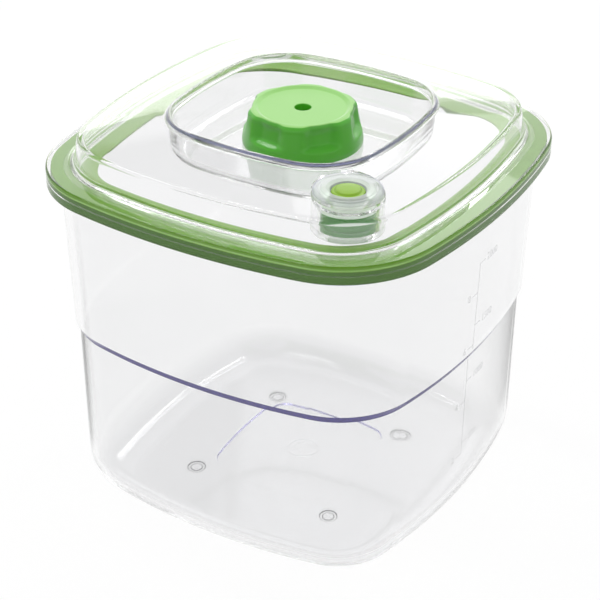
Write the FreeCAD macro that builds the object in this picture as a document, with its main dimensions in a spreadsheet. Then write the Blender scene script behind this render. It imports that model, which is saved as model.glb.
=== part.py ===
import FreeCAD
import Part
import Sketcher
import math
import os

# Vacuum seal canister: a clear square vessel with bowed sides, and a clear lid with a sunk well,
# a green twist knob over the vacuum port and a push button that lets the air back in.
# Millimetres, +Z up, origin on the table under the middle of the vessel.

# Driving sizes, one name each
VESSEL_SIZES = {
    "vessel_half_width": 74.4,
    "vessel_side_radius": 229.0,
    "vessel_corner_radius": 31.5,
    "vessel_wall": 2.6,
    "vessel_floor": 3.0,
    "base_edge_radius": 17.5,
    "lower_draft": 1.1,
    "ledge_step": 1.6,
    "ledge_rise": 1.6,
    "upper_draft": 1.8,
    "ledge_height": 74.0,
    "rim_height": 133.4,
    "rim_band_height": 4.0,
    "rim_band_proud": 0.8,
    "rim_edge_radius": 0.8,
    "panel_margin": 27.1,
    "panel_side_radius": 150.0,
    "panel_corner_radius": 6.0,
    "panel_depth": 0.6,
    "foot_stand": 1.0,
    "foot_radius": 3.6,
    "foot_depth": 1.4,
    "foot_margin": 2.8,
    "foot_dimple_radius": 1.7,
    "foot_dimple_depth": 0.7,
}
LID_SIZES = {
    "lid_overhang": 4.0,
    "lid_side_gain": 37.7,
    "lid_corner_gain": 7.7,
    "skirt_wall": 2.0,
    "skirt_overlap": 1.0,
    "flange_thickness": 2.8,
    "flange_fall": 1.2,
    "flange_edge_radius": 1.5,
    "dome_inset": 10.0,
    "dome_draft": 1.8,
    "dome_height": 9.5,
    "dome_foot_radius": 2.0,
    "lid_wall": 2.2,
    "crown_rise": 5.2,
    "rib_depth": 1.7,
    "crown_width": 27.3,
    "well_side_radius": 159.4,
    "well_corner_radius": 23.3,
    "well_depth": 13.8,
    "well_draft": 2.1,
    "well_floor": 2.4,
    "hub_bore_radius": 7.5,
    "hub_wall": 2.5,
    "hub_rise": 4.2,
    "hub_drop": 2.5,
    "release_margin": 3.7,
    "boss_bore_radius": 9.4,
    "boss_wall": 3.0,
    "boss_rise": 2.9,
    "boss_floor": 1.5,
    "boss_height": 13.5,
    "boss_hole_radius": 6.5,
}
GASKET_SIZES = {
    "gasket_thickness": 3.2,
    "gasket_width": 14.8,
    "gasket_outer_gap": 0.6,
    "gasket_outer_drop": 0.8,
    "gasket_inner_gap": 1.0,
    "gasket_inner_lip": 1.6,
    "gasket_inner_drop": 2.8,
    "gasket_side_clearance": 0.2,
    "rib_clearance": 0.1,
}
KNOB_SIZES = {
    "knob_base_radius": 22.1,
    "knob_top_radius": 20.2,
    "knob_foot_height": 1.8,
    "knob_edge_radius": 1.2,
    "knob_proud": 0.5,
    "knob_floor_gap": 0.5,
    "knob_lip": 2.8,
    "knob_dish_depth": 0.8,
    "knob_roof": 2.6,
    "knob_wall": 2.5,
    "knob_post_wall": 3.0,
    "scallop_radius": 17.0,
    "scallop_depth": 1.8,
    "scallop_height": 10.2,
    "port_radius": 3.0,
    "socket_radius": 5.0,
    "socket_depth": 2.4,
    "washer_thickness": 0.5,
    "washer_set_in": 0.6,
    "washer_clearance": 0.2,
    "bush_flange": 0.8,
    "bush_flange_set_in": 0.4,
    "bush_wall": 2.35,
    "bush_recess": 1.6,
    "bush_seal_thickness": 0.6,
    "bush_seal_gap": 0.2,
    "stem_running_clearance": 0.08,
    "stem_tail": 2.4,
    "stem_wall": 1.72,
    "clip_thickness": 0.7,
    "clip_room": 0.7,
    "clip_groove_depth": 0.6,
    "clip_end_float": 0.1,
    "stem_ring_wire": 0.9,
    "stem_ring_spacing": 3.6,
    "stem_ring_drop": 2.7,
    "ring_groove_play": 0.3,
    "press_clearance": 0.05,
}
VALVE_SIZES = {
    "seat_thickness": 1.2,
    "seat_hole_radius": 1.6,
    "nozzle_reach": 4.6,
    "nozzle_bore_radius": 1.5,
    "check_clearance": 0.4,
    "check_disc_thickness": 1.0,
    "check_boss_radius": 1.4,
    "check_boss_height": 1.2,
    "check_spring_wire": 0.4,
}
RELEASE_SIZES = {
    "collar_set_in": 0.4,
    "collar_flange": 1.4,
    "collar_edge_radius": 1.3,
    "collar_reach": 4.2,
    "collar_dish_width": 2.0,
    "collar_dish_depth": 0.6,
    "sleeve_wall": 1.0,
    "button_radius": 5.9,
    "button_clearance": 0.3,
    "button_sink": 0.3,
    "button_crown": 1.3,
    "button_flange_room": 1.6,
    "button_flange": 1.4,
    "button_wall": 0.9,
    "button_recess_depth": 3.4,
    "button_post_wall": 0.8,
    "release_stem_radius": 1.9,
    "release_stem_insert": 4.0,
    "release_head_set_in": 1.3,
    "release_head": 1.4,
    "release_seal_height": 3.6,
    "release_seal_clearance": 0.2,
    "release_neck_reach": 0.3,
    "release_neck_clearance": 0.2,
    "release_airway": 1.3,
    "release_washer_room": 0.6,
    "release_washer_thickness": 0.5,
    "release_spring_wire": 0.6,
}
SIZES = {**VESSEL_SIZES, **LID_SIZES, **GASKET_SIZES, **KNOB_SIZES, **VALVE_SIZES, **RELEASE_SIZES}

# Counts and shares
SCALLOP_COUNT = 6
SCALLOP_TURN_DEG = 21.3
CLIP_SWEEP_DEG = 300
CHECK_SPRING_TURNS = 4
RELEASE_SPRING_TURNS = 4
SPRING_SAMPLES_PER_TURN = 48
CUT_OVERRUN_SHARE = 0.5

# Numbers that a sketch uses for its origin, its axes and the points of an edge
ORIGIN_INDEX = -1
ACROSS_INDEX = -1
UPRIGHT_INDEX = -2
START_INDEX = 1
END_INDEX = 2
CENTRE_INDEX = 3

doc = FreeCAD.newDocument("vacuum_canister")
sheet = doc.addObject("Spreadsheet::Sheet", "dims")
for row, (alias, number) in enumerate(SIZES.items(), start=1):
    sheet.set(f"A{row}", alias.replace("_", " "))
    sheet.set(f"B{row}", str(number))
    sheet.setAlias(f"B{row}", alias)
doc.recompute()


class Size:
    """A length together with the sheet formula that gives it."""

    def __init__(self, value, formula):
        self.value = value
        self.formula = formula

    def __add__(self, other):
        return Size(self.value + other.value, f"({self.formula} + {other.formula})")

    def __sub__(self, other):
        return Size(self.value - other.value, f"({self.formula} - {other.formula})")

    def __mul__(self, share):
        return Size(self.value * share, f"({self.formula} * {share})")

    def __truediv__(self, share):
        return Size(self.value / share, f"({self.formula} / {share})")


class Sizes:
    """The sheet's cells as sizes, by alias."""

    def __getattr__(self, alias):
        return Size(float(sheet.get(alias)), f"dims.{alias}")


d = Sizes()
ZERO = Size(0.0, "0")

# Vessel and lid outlines that several pieces share
lower_top_half = d.vessel_half_width - d.ledge_step
lower_foot_half = lower_top_half - d.lower_draft
floor_half = lower_foot_half - d.vessel_wall - d.base_edge_radius + d.vessel_floor
panel_half = floor_half - d.panel_margin
foot_offset = panel_half + d.foot_margin
rim_half = d.vessel_half_width + d.upper_draft
rim_band_half = rim_half + d.rim_band_proud
lid_half = rim_band_half + d.lid_overhang
lid_side_radius = d.vessel_side_radius + d.lid_side_gain
lid_corner_radius = d.vessel_corner_radius + d.lid_corner_gain
dome_foot_half = lid_half - d.dome_inset
shoulder_half = dome_foot_half - d.dome_draft
well_half = shoulder_half - d.crown_width
skirt_inner_half = lid_half - d.skirt_wall

# Heights of the vessel and lid
floor_top = d.foot_stand + d.vessel_floor
gasket_top = d.rim_height + d.gasket_thickness
skirt_bottom = d.rim_height - d.skirt_overlap
flange_top = gasket_top + d.flange_thickness
shoulder_height = flange_top + d.dome_height
well_rim = shoulder_height + d.crown_rise
well_floor_top = well_rim - d.well_depth
well_floor_bottom = well_floor_top - d.well_floor

# Port stack on the lid's axis
hub_top = well_floor_top + d.hub_rise
hub_bottom = well_floor_bottom - d.hub_drop
hub_radius = d.hub_bore_radius + d.hub_wall
bush_seal_top = hub_top + d.bush_seal_thickness
bush_top = bush_seal_top + d.bush_flange
bush_bottom = hub_bottom + d.bush_recess
bush_radius = d.hub_bore_radius - d.press_clearance
bush_bore_radius = bush_radius - d.bush_wall
bush_flange_radius = hub_radius - d.bush_flange_set_in
washer_top = bush_top + d.washer_thickness
knob_top = well_rim + d.knob_proud
knob_bottom = well_floor_top + d.knob_floor_gap
stem_radius = bush_bore_radius - d.stem_running_clearance
chamber_radius = stem_radius - d.stem_wall
stem_bottom = bush_bottom - d.stem_tail
seat_top = stem_bottom + d.seat_thickness
check_top = seat_top + d.check_disc_thickness
check_disc_radius = chamber_radius - d.check_clearance
nozzle_bottom = washer_top - d.nozzle_reach
nozzle_top = washer_top + d.socket_depth

# Release stack at the lid's front right corner
release_offset = well_half + d.release_margin
boss_radius = d.boss_bore_radius + d.boss_wall
boss_top = shoulder_height + d.boss_rise
boss_bottom = boss_top - d.boss_height
boss_floor_top = boss_bottom + d.boss_floor
release_neck_radius = d.boss_hole_radius - d.release_neck_clearance
release_neck_bottom = boss_bottom - d.release_neck_reach
release_airway_radius = d.release_stem_radius + d.release_airway
release_seal_top = boss_floor_top + d.release_seal_height
release_washer_top = release_seal_top + d.release_washer_thickness
collar_top = boss_top + d.collar_flange
collar_bottom = boss_top - d.collar_reach
button_bottom = collar_bottom - d.button_flange
button_top = collar_top - d.button_sink
button_recess_top = button_bottom + d.button_recess_depth
button_recess_radius = d.button_radius - d.button_wall
button_post_radius = d.release_stem_radius + d.button_post_wall


def new_body(label):
    """A body whose label names its piece."""
    body = doc.addObject("PartDesign::Body", label)
    body.Label = label
    return body


def new_sketch(body, name, role="XY_Plane", level=None):
    """A sketch on one of the body's own planes, raised to a level where one is given."""
    sketch = body.newObject("Sketcher::SketchObject", name)
    plane = next(item for item in body.Origin.OriginFeatures if item.Role == role)
    sketch.AttachmentSupport = [(plane, "")]
    sketch.MapMode = "FlatFace"
    if level is not None:
        bind(sketch, "AttachmentOffset.Base.z", level)
    return sketch


def bind(item, name, size):
    """Tie a property to the sheet."""
    item.setExpression(name, size.formula)


def hold_distance(sketch, kind, first, second, size):
    """Hold two points of a sketch a named distance apart along one axis."""
    index = sketch.addConstraint(Sketcher.Constraint(kind, *first, *second, size.value))
    bind(sketch, f"Constraints[{index}]", size)


def hold_radius(sketch, geometry, size):
    """Hold an arc or circle at a named radius."""
    index = sketch.addConstraint(Sketcher.Constraint("Radius", geometry, size.value))
    bind(sketch, f"Constraints[{index}]", size)


def hold_point(sketch, point, x, y):
    """Hold one point of a sketch at its named place."""
    for kind, size, axis in (("DistanceX", x, UPRIGHT_INDEX), ("DistanceY", y, ACROSS_INDEX)):
        if size is ZERO:
            sketch.addConstraint(Sketcher.Constraint("PointOnObject", *point, axis))
        else:
            hold_distance(sketch, kind, (ORIGIN_INDEX, START_INDEX), point, size)


def draw_circle(sketch, x, y, radius):
    """A circle at a named place."""
    centre = FreeCAD.Vector(x.value, y.value, 0)
    circle = sketch.addGeometry(Part.Circle(centre, FreeCAD.Vector(0, 0, 1), radius.value))
    hold_point(sketch, (circle, CENTRE_INDEX), x, y)
    hold_radius(sketch, circle, radius)


def bend_arc(start, end, radius, turns_left):
    """The short arc from start to end, as drawn counterclockwise."""
    chord = end - start
    reach = math.sqrt(max(radius ** 2 - (chord.Length / 2) ** 2, 0))
    side = 1 if turns_left else -1
    normal = FreeCAD.Vector(-chord.y, chord.x, 0).normalize() * side
    centre = (start + end) / 2 + normal * reach
    first, last = (start, end) if turns_left else (end, start)
    angles = [math.atan2(point.y - centre.y, point.x - centre.x) for point in (first, last)]
    circle = Part.Circle(centre, FreeCAD.Vector(0, 0, 1), radius)
    return Part.ArcOfCircle(circle, *angles)


def draw_profile(sketch, corners, bends=None):
    """A closed outline through named corners.

    bends gives, by the corner an arc starts from, its radius and whether it turns left.
    """
    bends = bends or {}
    points = [FreeCAD.Vector(x.value, y.value, 0) for x, y in corners]
    count = len(points)
    heads, tails = [], []
    for index, start in enumerate(points):
        end = points[(index + 1) % count]
        if index in bends:
            radius, turns_left = bends[index]
            edge = sketch.addGeometry(bend_arc(start, end, radius.value, turns_left))
            hold_radius(sketch, edge, radius)
            heads.append((edge, START_INDEX if turns_left else END_INDEX))
            tails.append((edge, END_INDEX if turns_left else START_INDEX))
        else:
            edge = sketch.addGeometry(Part.LineSegment(start, end))
            heads.append((edge, START_INDEX))
            tails.append((edge, END_INDEX))
    for index, (x, y) in enumerate(corners):
        sketch.addConstraint(Sketcher.Constraint("Coincident", *tails[index - 1], *heads[index]))
        hold_point(sketch, heads[index], x, y)


def draw_bowed_square(sketch, half, side_radius, corner_radius):
    """A square with bowed sides and round corners, as eight tangent arcs."""
    reach = side_radius.value - half.value
    inner = side_radius.value - corner_radius.value
    corner = (math.sqrt(2 * inner ** 2 - reach ** 2) - reach) / 2
    lean = math.atan2(corner, corner + reach)
    up = FreeCAD.Vector(0, 0, 1)
    arcs = []
    for quarter in range(4):
        turn = quarter * math.pi / 2
        away = FreeCAD.Vector(-math.cos(turn), -math.sin(turn), 0) * reach
        circle = Part.Circle(away, up, side_radius.value)
        arcs.append(sketch.addGeometry(Part.ArcOfCircle(circle, turn - lean, turn + lean)))
        diagonal = FreeCAD.Vector(corner, corner, 0)
        centre = FreeCAD.Rotation(up, math.degrees(turn)).multVec(diagonal)
        circle = Part.Circle(centre, up, corner_radius.value)
        arcs.append(sketch.addGeometry(
            Part.ArcOfCircle(circle, turn + lean, turn + math.pi / 2 - lean)))
    for index, arc in enumerate(arcs):
        following = arcs[(index + 1) % len(arcs)]
        sketch.addConstraint(Sketcher.Constraint("Tangent", arc, END_INDEX, following, START_INDEX))
    sides, corners = arcs[0::2], arcs[1::2]
    set_back = side_radius - half
    origin = (ORIGIN_INDEX, START_INDEX)
    right, back, left, front = [(side, CENTRE_INDEX) for side in sides]
    for point, axis in zip((right, back, left, front), (ACROSS_INDEX, UPRIGHT_INDEX) * 2):
        sketch.addConstraint(Sketcher.Constraint("PointOnObject", *point, axis))
    hold_distance(sketch, "DistanceX", right, origin, set_back)
    hold_distance(sketch, "DistanceY", back, origin, set_back)
    hold_distance(sketch, "DistanceX", origin, left, set_back)
    hold_distance(sketch, "DistanceY", origin, front, set_back)
    for group, radius in ((sides, side_radius), (corners, corner_radius)):
        hold_radius(sketch, group[0], radius)
        for arc in group[1:]:
            sketch.addConstraint(Sketcher.Constraint("Equal", group[0], arc))


def square_sketch(body, name, half, side_radius, corner_radius, level=None):
    """A bowed square on a level of the body."""
    sketch = new_sketch(body, name, level=level)
    draw_bowed_square(sketch, half, side_radius, corner_radius)
    return sketch


def lid_square(body, name, half, level=None):
    """A bowed square parallel to the lid's skirt."""
    inset = lid_half - half
    return square_sketch(body, name, half, lid_side_radius - inset, lid_corner_radius - inset, level)


def well_square(body, name, growth, level):
    """A bowed square parallel to the well's rim."""
    return square_sketch(body, name, well_half + growth, d.well_side_radius + growth,
                         d.well_corner_radius + growth, level)


def sweep(body, name, profile, path):
    """A section carried round a path."""
    pipe = body.newObject("PartDesign::AdditivePipe", name)
    pipe.Profile = profile
    pipe.Spine = (path, [])
    return pipe


def loft(body, name, lower, upper, cuts=False):
    """A straight loft from one level to another, added or cut away."""
    kind = "PartDesign::SubtractiveLoft" if cuts else "PartDesign::AdditiveLoft"
    solid = body.newObject(kind, name)
    solid.Profile = lower
    solid.Sections = [upper]
    solid.Ruled = True
    return solid


def pad(body, name, profile, length):
    """A sketch raised by a named length."""
    solid = body.newObject("PartDesign::Pad", name)
    solid.Profile = profile
    bind(solid, "Length", length)
    return solid


def pocket(body, name, profile, depth, upward=False):
    """A sketch cut to a named depth, downward unless told otherwise."""
    solid = body.newObject("PartDesign::Pocket", name)
    solid.Profile = profile
    solid.Reversed = upward
    bind(solid, "Length", depth)
    return solid


def disc(body, name, level, radius, length, x=ZERO, y=ZERO):
    """A round pad on a level."""
    sketch = new_sketch(body, f"{name}_circle", level=level)
    draw_circle(sketch, x, y, radius)
    return pad(body, name, sketch, length)


def bore(body, name, level, radius, depth, x=ZERO, y=ZERO, upward=False):
    """A round hole cut from a level, downward unless told otherwise."""
    sketch = new_sketch(body, f"{name}_circle", level=level)
    draw_circle(sketch, x, y, radius)
    return pocket(body, name, sketch, depth, upward)


def revolved(label, corners, bends=None, angle=360):
    """A turned piece from its half section, radius first and height second."""
    body = new_body(label)
    sketch = new_sketch(body, f"{label}_section", "XZ_Plane")
    draw_profile(sketch, corners, bends)
    solid = body.newObject("PartDesign::Revolution", f"{label}_turned")
    solid.Profile = sketch
    solid.ReferenceAxis = (sketch, ["V_Axis"])
    solid.Angle = angle
    return body


def flat_ring(label, inner, outer, foot, top):
    """A turned ring with a square section."""
    return revolved(label, [(inner, foot), (outer, foot), (outer, top), (inner, top)])


def at_release(piece):
    """Stand a piece on the release valve's axis."""
    bind(piece, "Placement.Base.x", release_offset)
    bind(piece, "Placement.Base.y", ZERO - release_offset)
    return piece


def dome_radius(reach, rise):
    """The radius of a shallow dome from how far it reaches and how high it rises."""
    value = (reach.value ** 2 / rise.value + rise.value) / 2
    return Size(value, f"(({reach.formula})^2 / {rise.formula} + {rise.formula}) / 2")


# Vessel and its feet
def build_vessel():
    """The clear square vessel: its wall swept round, then floor, panel and foot sockets."""
    body = new_body("vessel")
    path = square_sketch(body, "vessel_outline", d.vessel_half_width, d.vessel_side_radius,
                         d.vessel_corner_radius)
    wall = d.vessel_wall
    bend = d.base_edge_radius
    inner_bend = bend - d.vessel_floor
    ledge_top = d.ledge_height + d.ledge_rise
    band_foot = d.rim_height - d.rim_band_height
    corners = [
        (lower_foot_half - bend, d.foot_stand),
        (lower_foot_half, d.foot_stand + bend),
        (lower_top_half, d.ledge_height),
        (d.vessel_half_width, ledge_top),
        (rim_half, band_foot),
        (rim_band_half, band_foot + d.rim_band_proud),
        (rim_band_half, d.rim_height - d.rim_edge_radius),
        (rim_band_half - d.rim_edge_radius, d.rim_height),
        (rim_half - wall, d.rim_height),
        (d.vessel_half_width - wall, ledge_top + wall),
        (lower_top_half - wall, d.ledge_height + wall),
        (lower_foot_half - wall, floor_top + inner_bend),
        (floor_half, floor_top),
    ]
    section = new_sketch(body, "vessel_section", "XZ_Plane")
    draw_profile(section, corners, {0: (bend, True), 6: (d.rim_edge_radius, True),
                                    11: (inner_bend, False)})
    sweep(body, "vessel_wall_swept", section, path)
    inset = d.ledge_step + d.lower_draft + bend - wall
    floor = square_sketch(body, "floor_outline", d.vessel_half_width - inset,
                          d.vessel_side_radius - inset, d.vessel_corner_radius - inset,
                          d.foot_stand)
    pad(body, "floor_plate", floor, d.vessel_floor)
    panel = square_sketch(body, "panel_outline", panel_half, d.panel_side_radius,
                          d.panel_corner_radius, floor_top)
    pocket(body, "floor_panel", panel, d.panel_depth)
    sockets = new_sketch(body, "socket_circles", level=d.foot_stand)
    for x_sign in (1, -1):
        for y_sign in (1, -1):
            draw_circle(sockets, foot_offset * x_sign, foot_offset * y_sign,
                        d.foot_radius + d.press_clearance)
    pocket(body, "foot_sockets", sockets, d.foot_depth, upward=True)
    return body


def build_base_feet():
    """Four clear push-in feet, each a disc with a dimple underneath."""
    solids = []
    for x_sign in (1, -1):
        for y_sign in (1, -1):
            number = len(solids) + 1
            foot = doc.addObject("Part::Cylinder", f"foot_disc_{number}")
            bind(foot, "Radius", d.foot_radius)
            bind(foot, "Height", d.foot_stand + d.foot_depth)
            dimple = doc.addObject("Part::Cylinder", f"foot_dimple_{number}")
            bind(dimple, "Radius", d.foot_dimple_radius)
            bind(dimple, "Height", d.foot_dimple_depth)
            for item in (foot, dimple):
                bind(item, "Placement.Base.x", foot_offset * x_sign)
                bind(item, "Placement.Base.y", foot_offset * y_sign)
            cut = doc.addObject("Part::Cut", f"foot_{number}")
            cut.Base = foot
            cut.Tool = dimple
            solids.append(cut)
    feet = doc.addObject("Part::Compound", "base_feet")
    feet.Links = solids
    return feet


# Lid
def build_lid_shell():
    """The clear lid: crown, well, dome wall, flange and skirt, hub for the port and release boss."""
    body = new_body("lid_shell")
    wall = d.lid_wall
    loft(body, "crown", lid_square(body, "crown_edge", shoulder_half, shoulder_height),
         well_square(body, "crown_top", ZERO, well_rim))
    loft(body, "crown_hollow",
         lid_square(body, "hollow_edge", shoulder_half - wall, shoulder_height - wall),
         well_square(body, "hollow_top", ZERO - wall, well_rim - wall), cuts=True)

    path = lid_square(body, "lid_outline", lid_half)
    edge = d.flange_edge_radius
    flange_edge_top = flange_top - d.flange_fall
    foot = d.dome_foot_radius
    rib_bottom = gasket_top - d.rib_depth
    corners = [
        (lid_half, skirt_bottom),
        (lid_half, flange_edge_top - edge),
        (lid_half - edge, flange_edge_top),
        (dome_foot_half + foot, flange_top),
        (dome_foot_half, flange_top + foot),
        (shoulder_half, shoulder_height),
        (shoulder_half - wall, shoulder_height),
        (dome_foot_half - wall, flange_top + foot),
        (dome_foot_half - wall, rib_bottom),
        (dome_foot_half, rib_bottom),
        (dome_foot_half, gasket_top),
        (skirt_inner_half, gasket_top),
        (skirt_inner_half, skirt_bottom),
    ]
    section = new_sketch(body, "lid_section", "XZ_Plane")
    draw_profile(section, corners, {1: (edge, True), 3: (foot, False)})
    sweep(body, "lid_edge_swept", section, path)

    loft(body, "well_cup", well_square(body, "cup_floor", wall - d.well_draft, well_floor_bottom),
         well_square(body, "cup_top", wall - d.well_draft / 2, well_rim - wall))
    loft(body, "well", well_square(body, "well_floor_edge", ZERO - d.well_draft, well_floor_top),
         well_square(body, "well_rim_edge", ZERO, well_rim), cuts=True)

    x, y = release_offset, ZERO - release_offset
    overrun = d.boss_height * CUT_OVERRUN_SHARE
    disc(body, "release_boss", boss_bottom, boss_radius, d.boss_height, x, y)
    bore(body, "collar_seat", boss_top, boss_radius, overrun, x, y, upward=True)
    bore(body, "boss_bore", boss_top, d.boss_bore_radius, d.boss_height - d.boss_floor, x, y)
    bore(body, "boss_hole", boss_floor_top, d.boss_hole_radius, overrun, x, y)
    hub_height = hub_top - hub_bottom
    disc(body, "hub", hub_bottom, hub_radius, hub_height)
    bore(body, "hub_bore", hub_top + overrun, d.hub_bore_radius, hub_height + overrun * 2)
    return body


def build_lid_gasket():
    """The green silicone ring under the flange, with a lip each side of the vessel's rim."""
    body = new_body("lid_gasket")
    path = lid_square(body, "gasket_outline", lid_half)
    outer = skirt_inner_half - d.gasket_side_clearance
    inner = outer - d.gasket_width
    outer_lip = rim_band_half + d.gasket_outer_gap
    inner_lip = rim_half - d.vessel_wall - d.gasket_inner_gap
    inner_lip_bottom = d.rim_height - d.gasket_inner_drop
    outer_lip_bottom = d.rim_height - d.gasket_outer_drop
    slot_outer = dome_foot_half + d.rib_clearance
    slot_inner = dome_foot_half - d.lid_wall - d.rib_clearance
    slot_floor = gasket_top - d.rib_depth - d.rib_clearance
    corners = [
        (inner, d.rim_height),
        (inner_lip - d.gasket_inner_lip, d.rim_height),
        (inner_lip - d.gasket_inner_lip, inner_lip_bottom),
        (inner_lip, inner_lip_bottom),
        (inner_lip, d.rim_height),
        (outer_lip, d.rim_height),
        (outer_lip, outer_lip_bottom),
        (outer, outer_lip_bottom),
        (outer, gasket_top),
        (slot_outer, gasket_top),
        (slot_outer, slot_floor),
        (slot_inner, slot_floor),
        (slot_inner, gasket_top),
        (inner, gasket_top),
    ]
    section = new_sketch(body, "gasket_section", "XZ_Plane")
    draw_profile(section, corners)
    sweep(body, "gasket_swept", section, path)
    return body


# Twist knob and vacuum port
def build_knob():
    """The green knob: a hollow cap with finger scallops and a port hole through its post."""
    edge = d.knob_edge_radius
    dish = knob_top - d.knob_dish_depth
    dish_radius = d.knob_top_radius - d.knob_lip
    roof = dish - d.knob_roof
    post = d.socket_radius + d.knob_post_wall
    scallop_reach = d.knob_top_radius - d.scallop_depth
    cavity = scallop_reach - d.knob_wall
    corners = [
        (d.port_radius, nozzle_top),
        (d.socket_radius, nozzle_top),
        (d.socket_radius, washer_top),
        (post, washer_top),
        (post, roof),
        (cavity, roof),
        (cavity, knob_bottom),
        (d.knob_base_radius, knob_bottom),
        (d.knob_base_radius, knob_bottom + d.knob_foot_height),
        (d.knob_top_radius, knob_top - edge),
        (d.knob_top_radius - edge, knob_top),
        (dish_radius + d.knob_dish_depth, knob_top),
        (dish_radius, dish),
        (d.port_radius, dish),
    ]
    body = revolved("knob", corners, {9: (edge, True)})
    sketch = new_sketch(body, "scallop_circle", level=knob_top)
    scallop_centre = scallop_reach + d.scallop_radius
    turn = math.radians(SCALLOP_TURN_DEG)
    draw_circle(sketch, scallop_centre * math.cos(turn), scallop_centre * math.sin(turn),
                d.scallop_radius)
    scallop = pocket(body, "scallop", sketch, d.scallop_height)
    pattern = body.newObject("PartDesign::PolarPattern", "scallops")
    pattern.Originals = [scallop]
    pattern.Axis = (sketch, ["N_Axis"])
    pattern.Angle = 360
    pattern.Occurrences = SCALLOP_COUNT
    body.Tip = pattern
    return body


def stem_ring_levels():
    """Heights of the two seal rings on the stem."""
    upper = bush_top - d.stem_ring_drop
    return upper, upper - d.stem_ring_spacing


def build_knob_stem():
    """The tube that turns in the bush: valve chamber inside, ring and clip grooves outside."""
    groove = stem_radius - d.stem_ring_wire
    half = (d.stem_ring_wire + d.ring_groove_play) / 2
    clip_floor = stem_radius - d.clip_groove_depth
    clip_top = bush_bottom - d.clip_end_float + d.press_clearance
    clip_foot = clip_top - d.clip_thickness - d.press_clearance * 2
    corners = [
        (d.seat_hole_radius, stem_bottom),
        (stem_radius, stem_bottom),
        (stem_radius, clip_foot),
        (clip_floor, clip_foot),
        (clip_floor, clip_top),
        (stem_radius, clip_top),
    ]
    for level in reversed(stem_ring_levels()):
        corners += [
            (stem_radius, level - half),
            (groove, level - half),
            (groove, level + half),
            (stem_radius, level + half),
        ]
    corners += [
        (stem_radius, washer_top),
        (chamber_radius, washer_top),
        (chamber_radius, seat_top),
        (d.seat_hole_radius, seat_top),
    ]
    return revolved("knob_stem", corners)


def build_port_nozzle():
    """The insert that joins knob and stem, and that the hose tip seats on."""
    spigot = chamber_radius - d.press_clearance
    head = d.socket_radius - d.press_clearance
    corners = [
        (d.nozzle_bore_radius, nozzle_bottom),
        (spigot, nozzle_bottom),
        (spigot, washer_top),
        (head, washer_top),
        (head, nozzle_top),
        (d.nozzle_bore_radius, nozzle_top),
    ]
    return revolved("port_nozzle", corners)


def build_stem_o_rings():
    """Two rubber rings in the stem's grooves."""
    rings = []
    for number, level in enumerate(stem_ring_levels(), start=1):
        ring = doc.addObject("Part::Torus", f"stem_ring_{number}")
        bind(ring, "Radius1", stem_radius - d.stem_ring_wire / 2 + d.stem_running_clearance / 2)
        bind(ring, "Radius2", d.stem_ring_wire / 2)
        bind(ring, "Placement.Base.z", level)
        rings.append(ring)
    group = doc.addObject("Part::Compound", "stem_o_rings")
    group.Links = rings
    return group


def build_stem_clip():
    """The split steel ring that keeps the stem in the bush."""
    inner = stem_radius - d.clip_groove_depth + d.press_clearance
    outer = d.hub_bore_radius - d.clip_room
    top = bush_bottom - d.clip_end_float
    foot = top - d.clip_thickness
    corners = [(inner, foot), (outer, foot), (outer, top), (inner, top)]
    return revolved("stem_clip", corners, angle=CLIP_SWEEP_DEG)


def build_port_bush():
    """The flanged sleeve in the lid's hub that the stem turns in."""
    corners = [
        (bush_bore_radius, bush_bottom),
        (bush_radius, bush_bottom),
        (bush_radius, bush_seal_top),
        (bush_flange_radius, bush_seal_top),
        (bush_flange_radius, bush_top),
        (bush_bore_radius, bush_top),
    ]
    return revolved("port_bush", corners)


def build_bush_seal():
    """The flat rubber ring between the hub and the bush's flange."""
    return flat_ring("bush_seal", d.hub_bore_radius + d.bush_seal_gap,
                     bush_flange_radius - d.bush_seal_gap, hub_top, bush_seal_top)


def build_knob_washer():
    """The slip washer that the knob's post turns on."""
    return flat_ring("knob_washer", stem_radius + d.washer_clearance,
                     bush_flange_radius - d.washer_set_in, bush_top, washer_top)


# Check valve inside the stem
def build_check_valve():
    """The silicone disc that lifts off its seat while air is drawn out."""
    boss = check_top + d.check_boss_height
    corners = [
        (ZERO, seat_top),
        (check_disc_radius, seat_top),
        (check_disc_radius, check_top),
        (d.check_boss_radius, check_top),
        (d.check_boss_radius, boss),
        (ZERO, boss),
    ]
    return revolved("check_valve", corners)


def tangent_arc(start, apex, end):
    """The arc that touches the lines from start to apex and from apex to end."""
    middle = (start + end) / 2
    rise = apex - middle
    half_chord = (end - start).Length / 2
    sagitta = half_chord * math.tan(math.atan2(rise.Length, half_chord) / 2)
    crest = middle + rise.normalize() * sagitta
    return Part.Arc(start, crest, end).toShape()


def biarc(start, start_way, end, end_way):
    """Two tangent arcs that leave start and reach end along the given directions."""
    span = end - start
    along = span.dot(start_way + end_way)
    spread = 2 * (1 - start_way.dot(end_way))
    reach = (math.sqrt(along ** 2 + spread * span.dot(span)) - along) / spread
    first = start + start_way * reach
    second = end - end_way * reach
    joint = (first + second) / 2
    return [tangent_arc(start, first, joint), tangent_arc(joint, second, end)]


def helix_point(radius, pitch, foot, turns):
    """A point of a rising coil and its direction there."""
    angle = turns * 2 * math.pi
    point = FreeCAD.Vector(radius * math.cos(angle), radius * math.sin(angle), foot + pitch * turns)
    way = FreeCAD.Vector(-math.sin(angle), math.cos(angle), pitch / (2 * math.pi * radius))
    return point, way.normalize()


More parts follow.
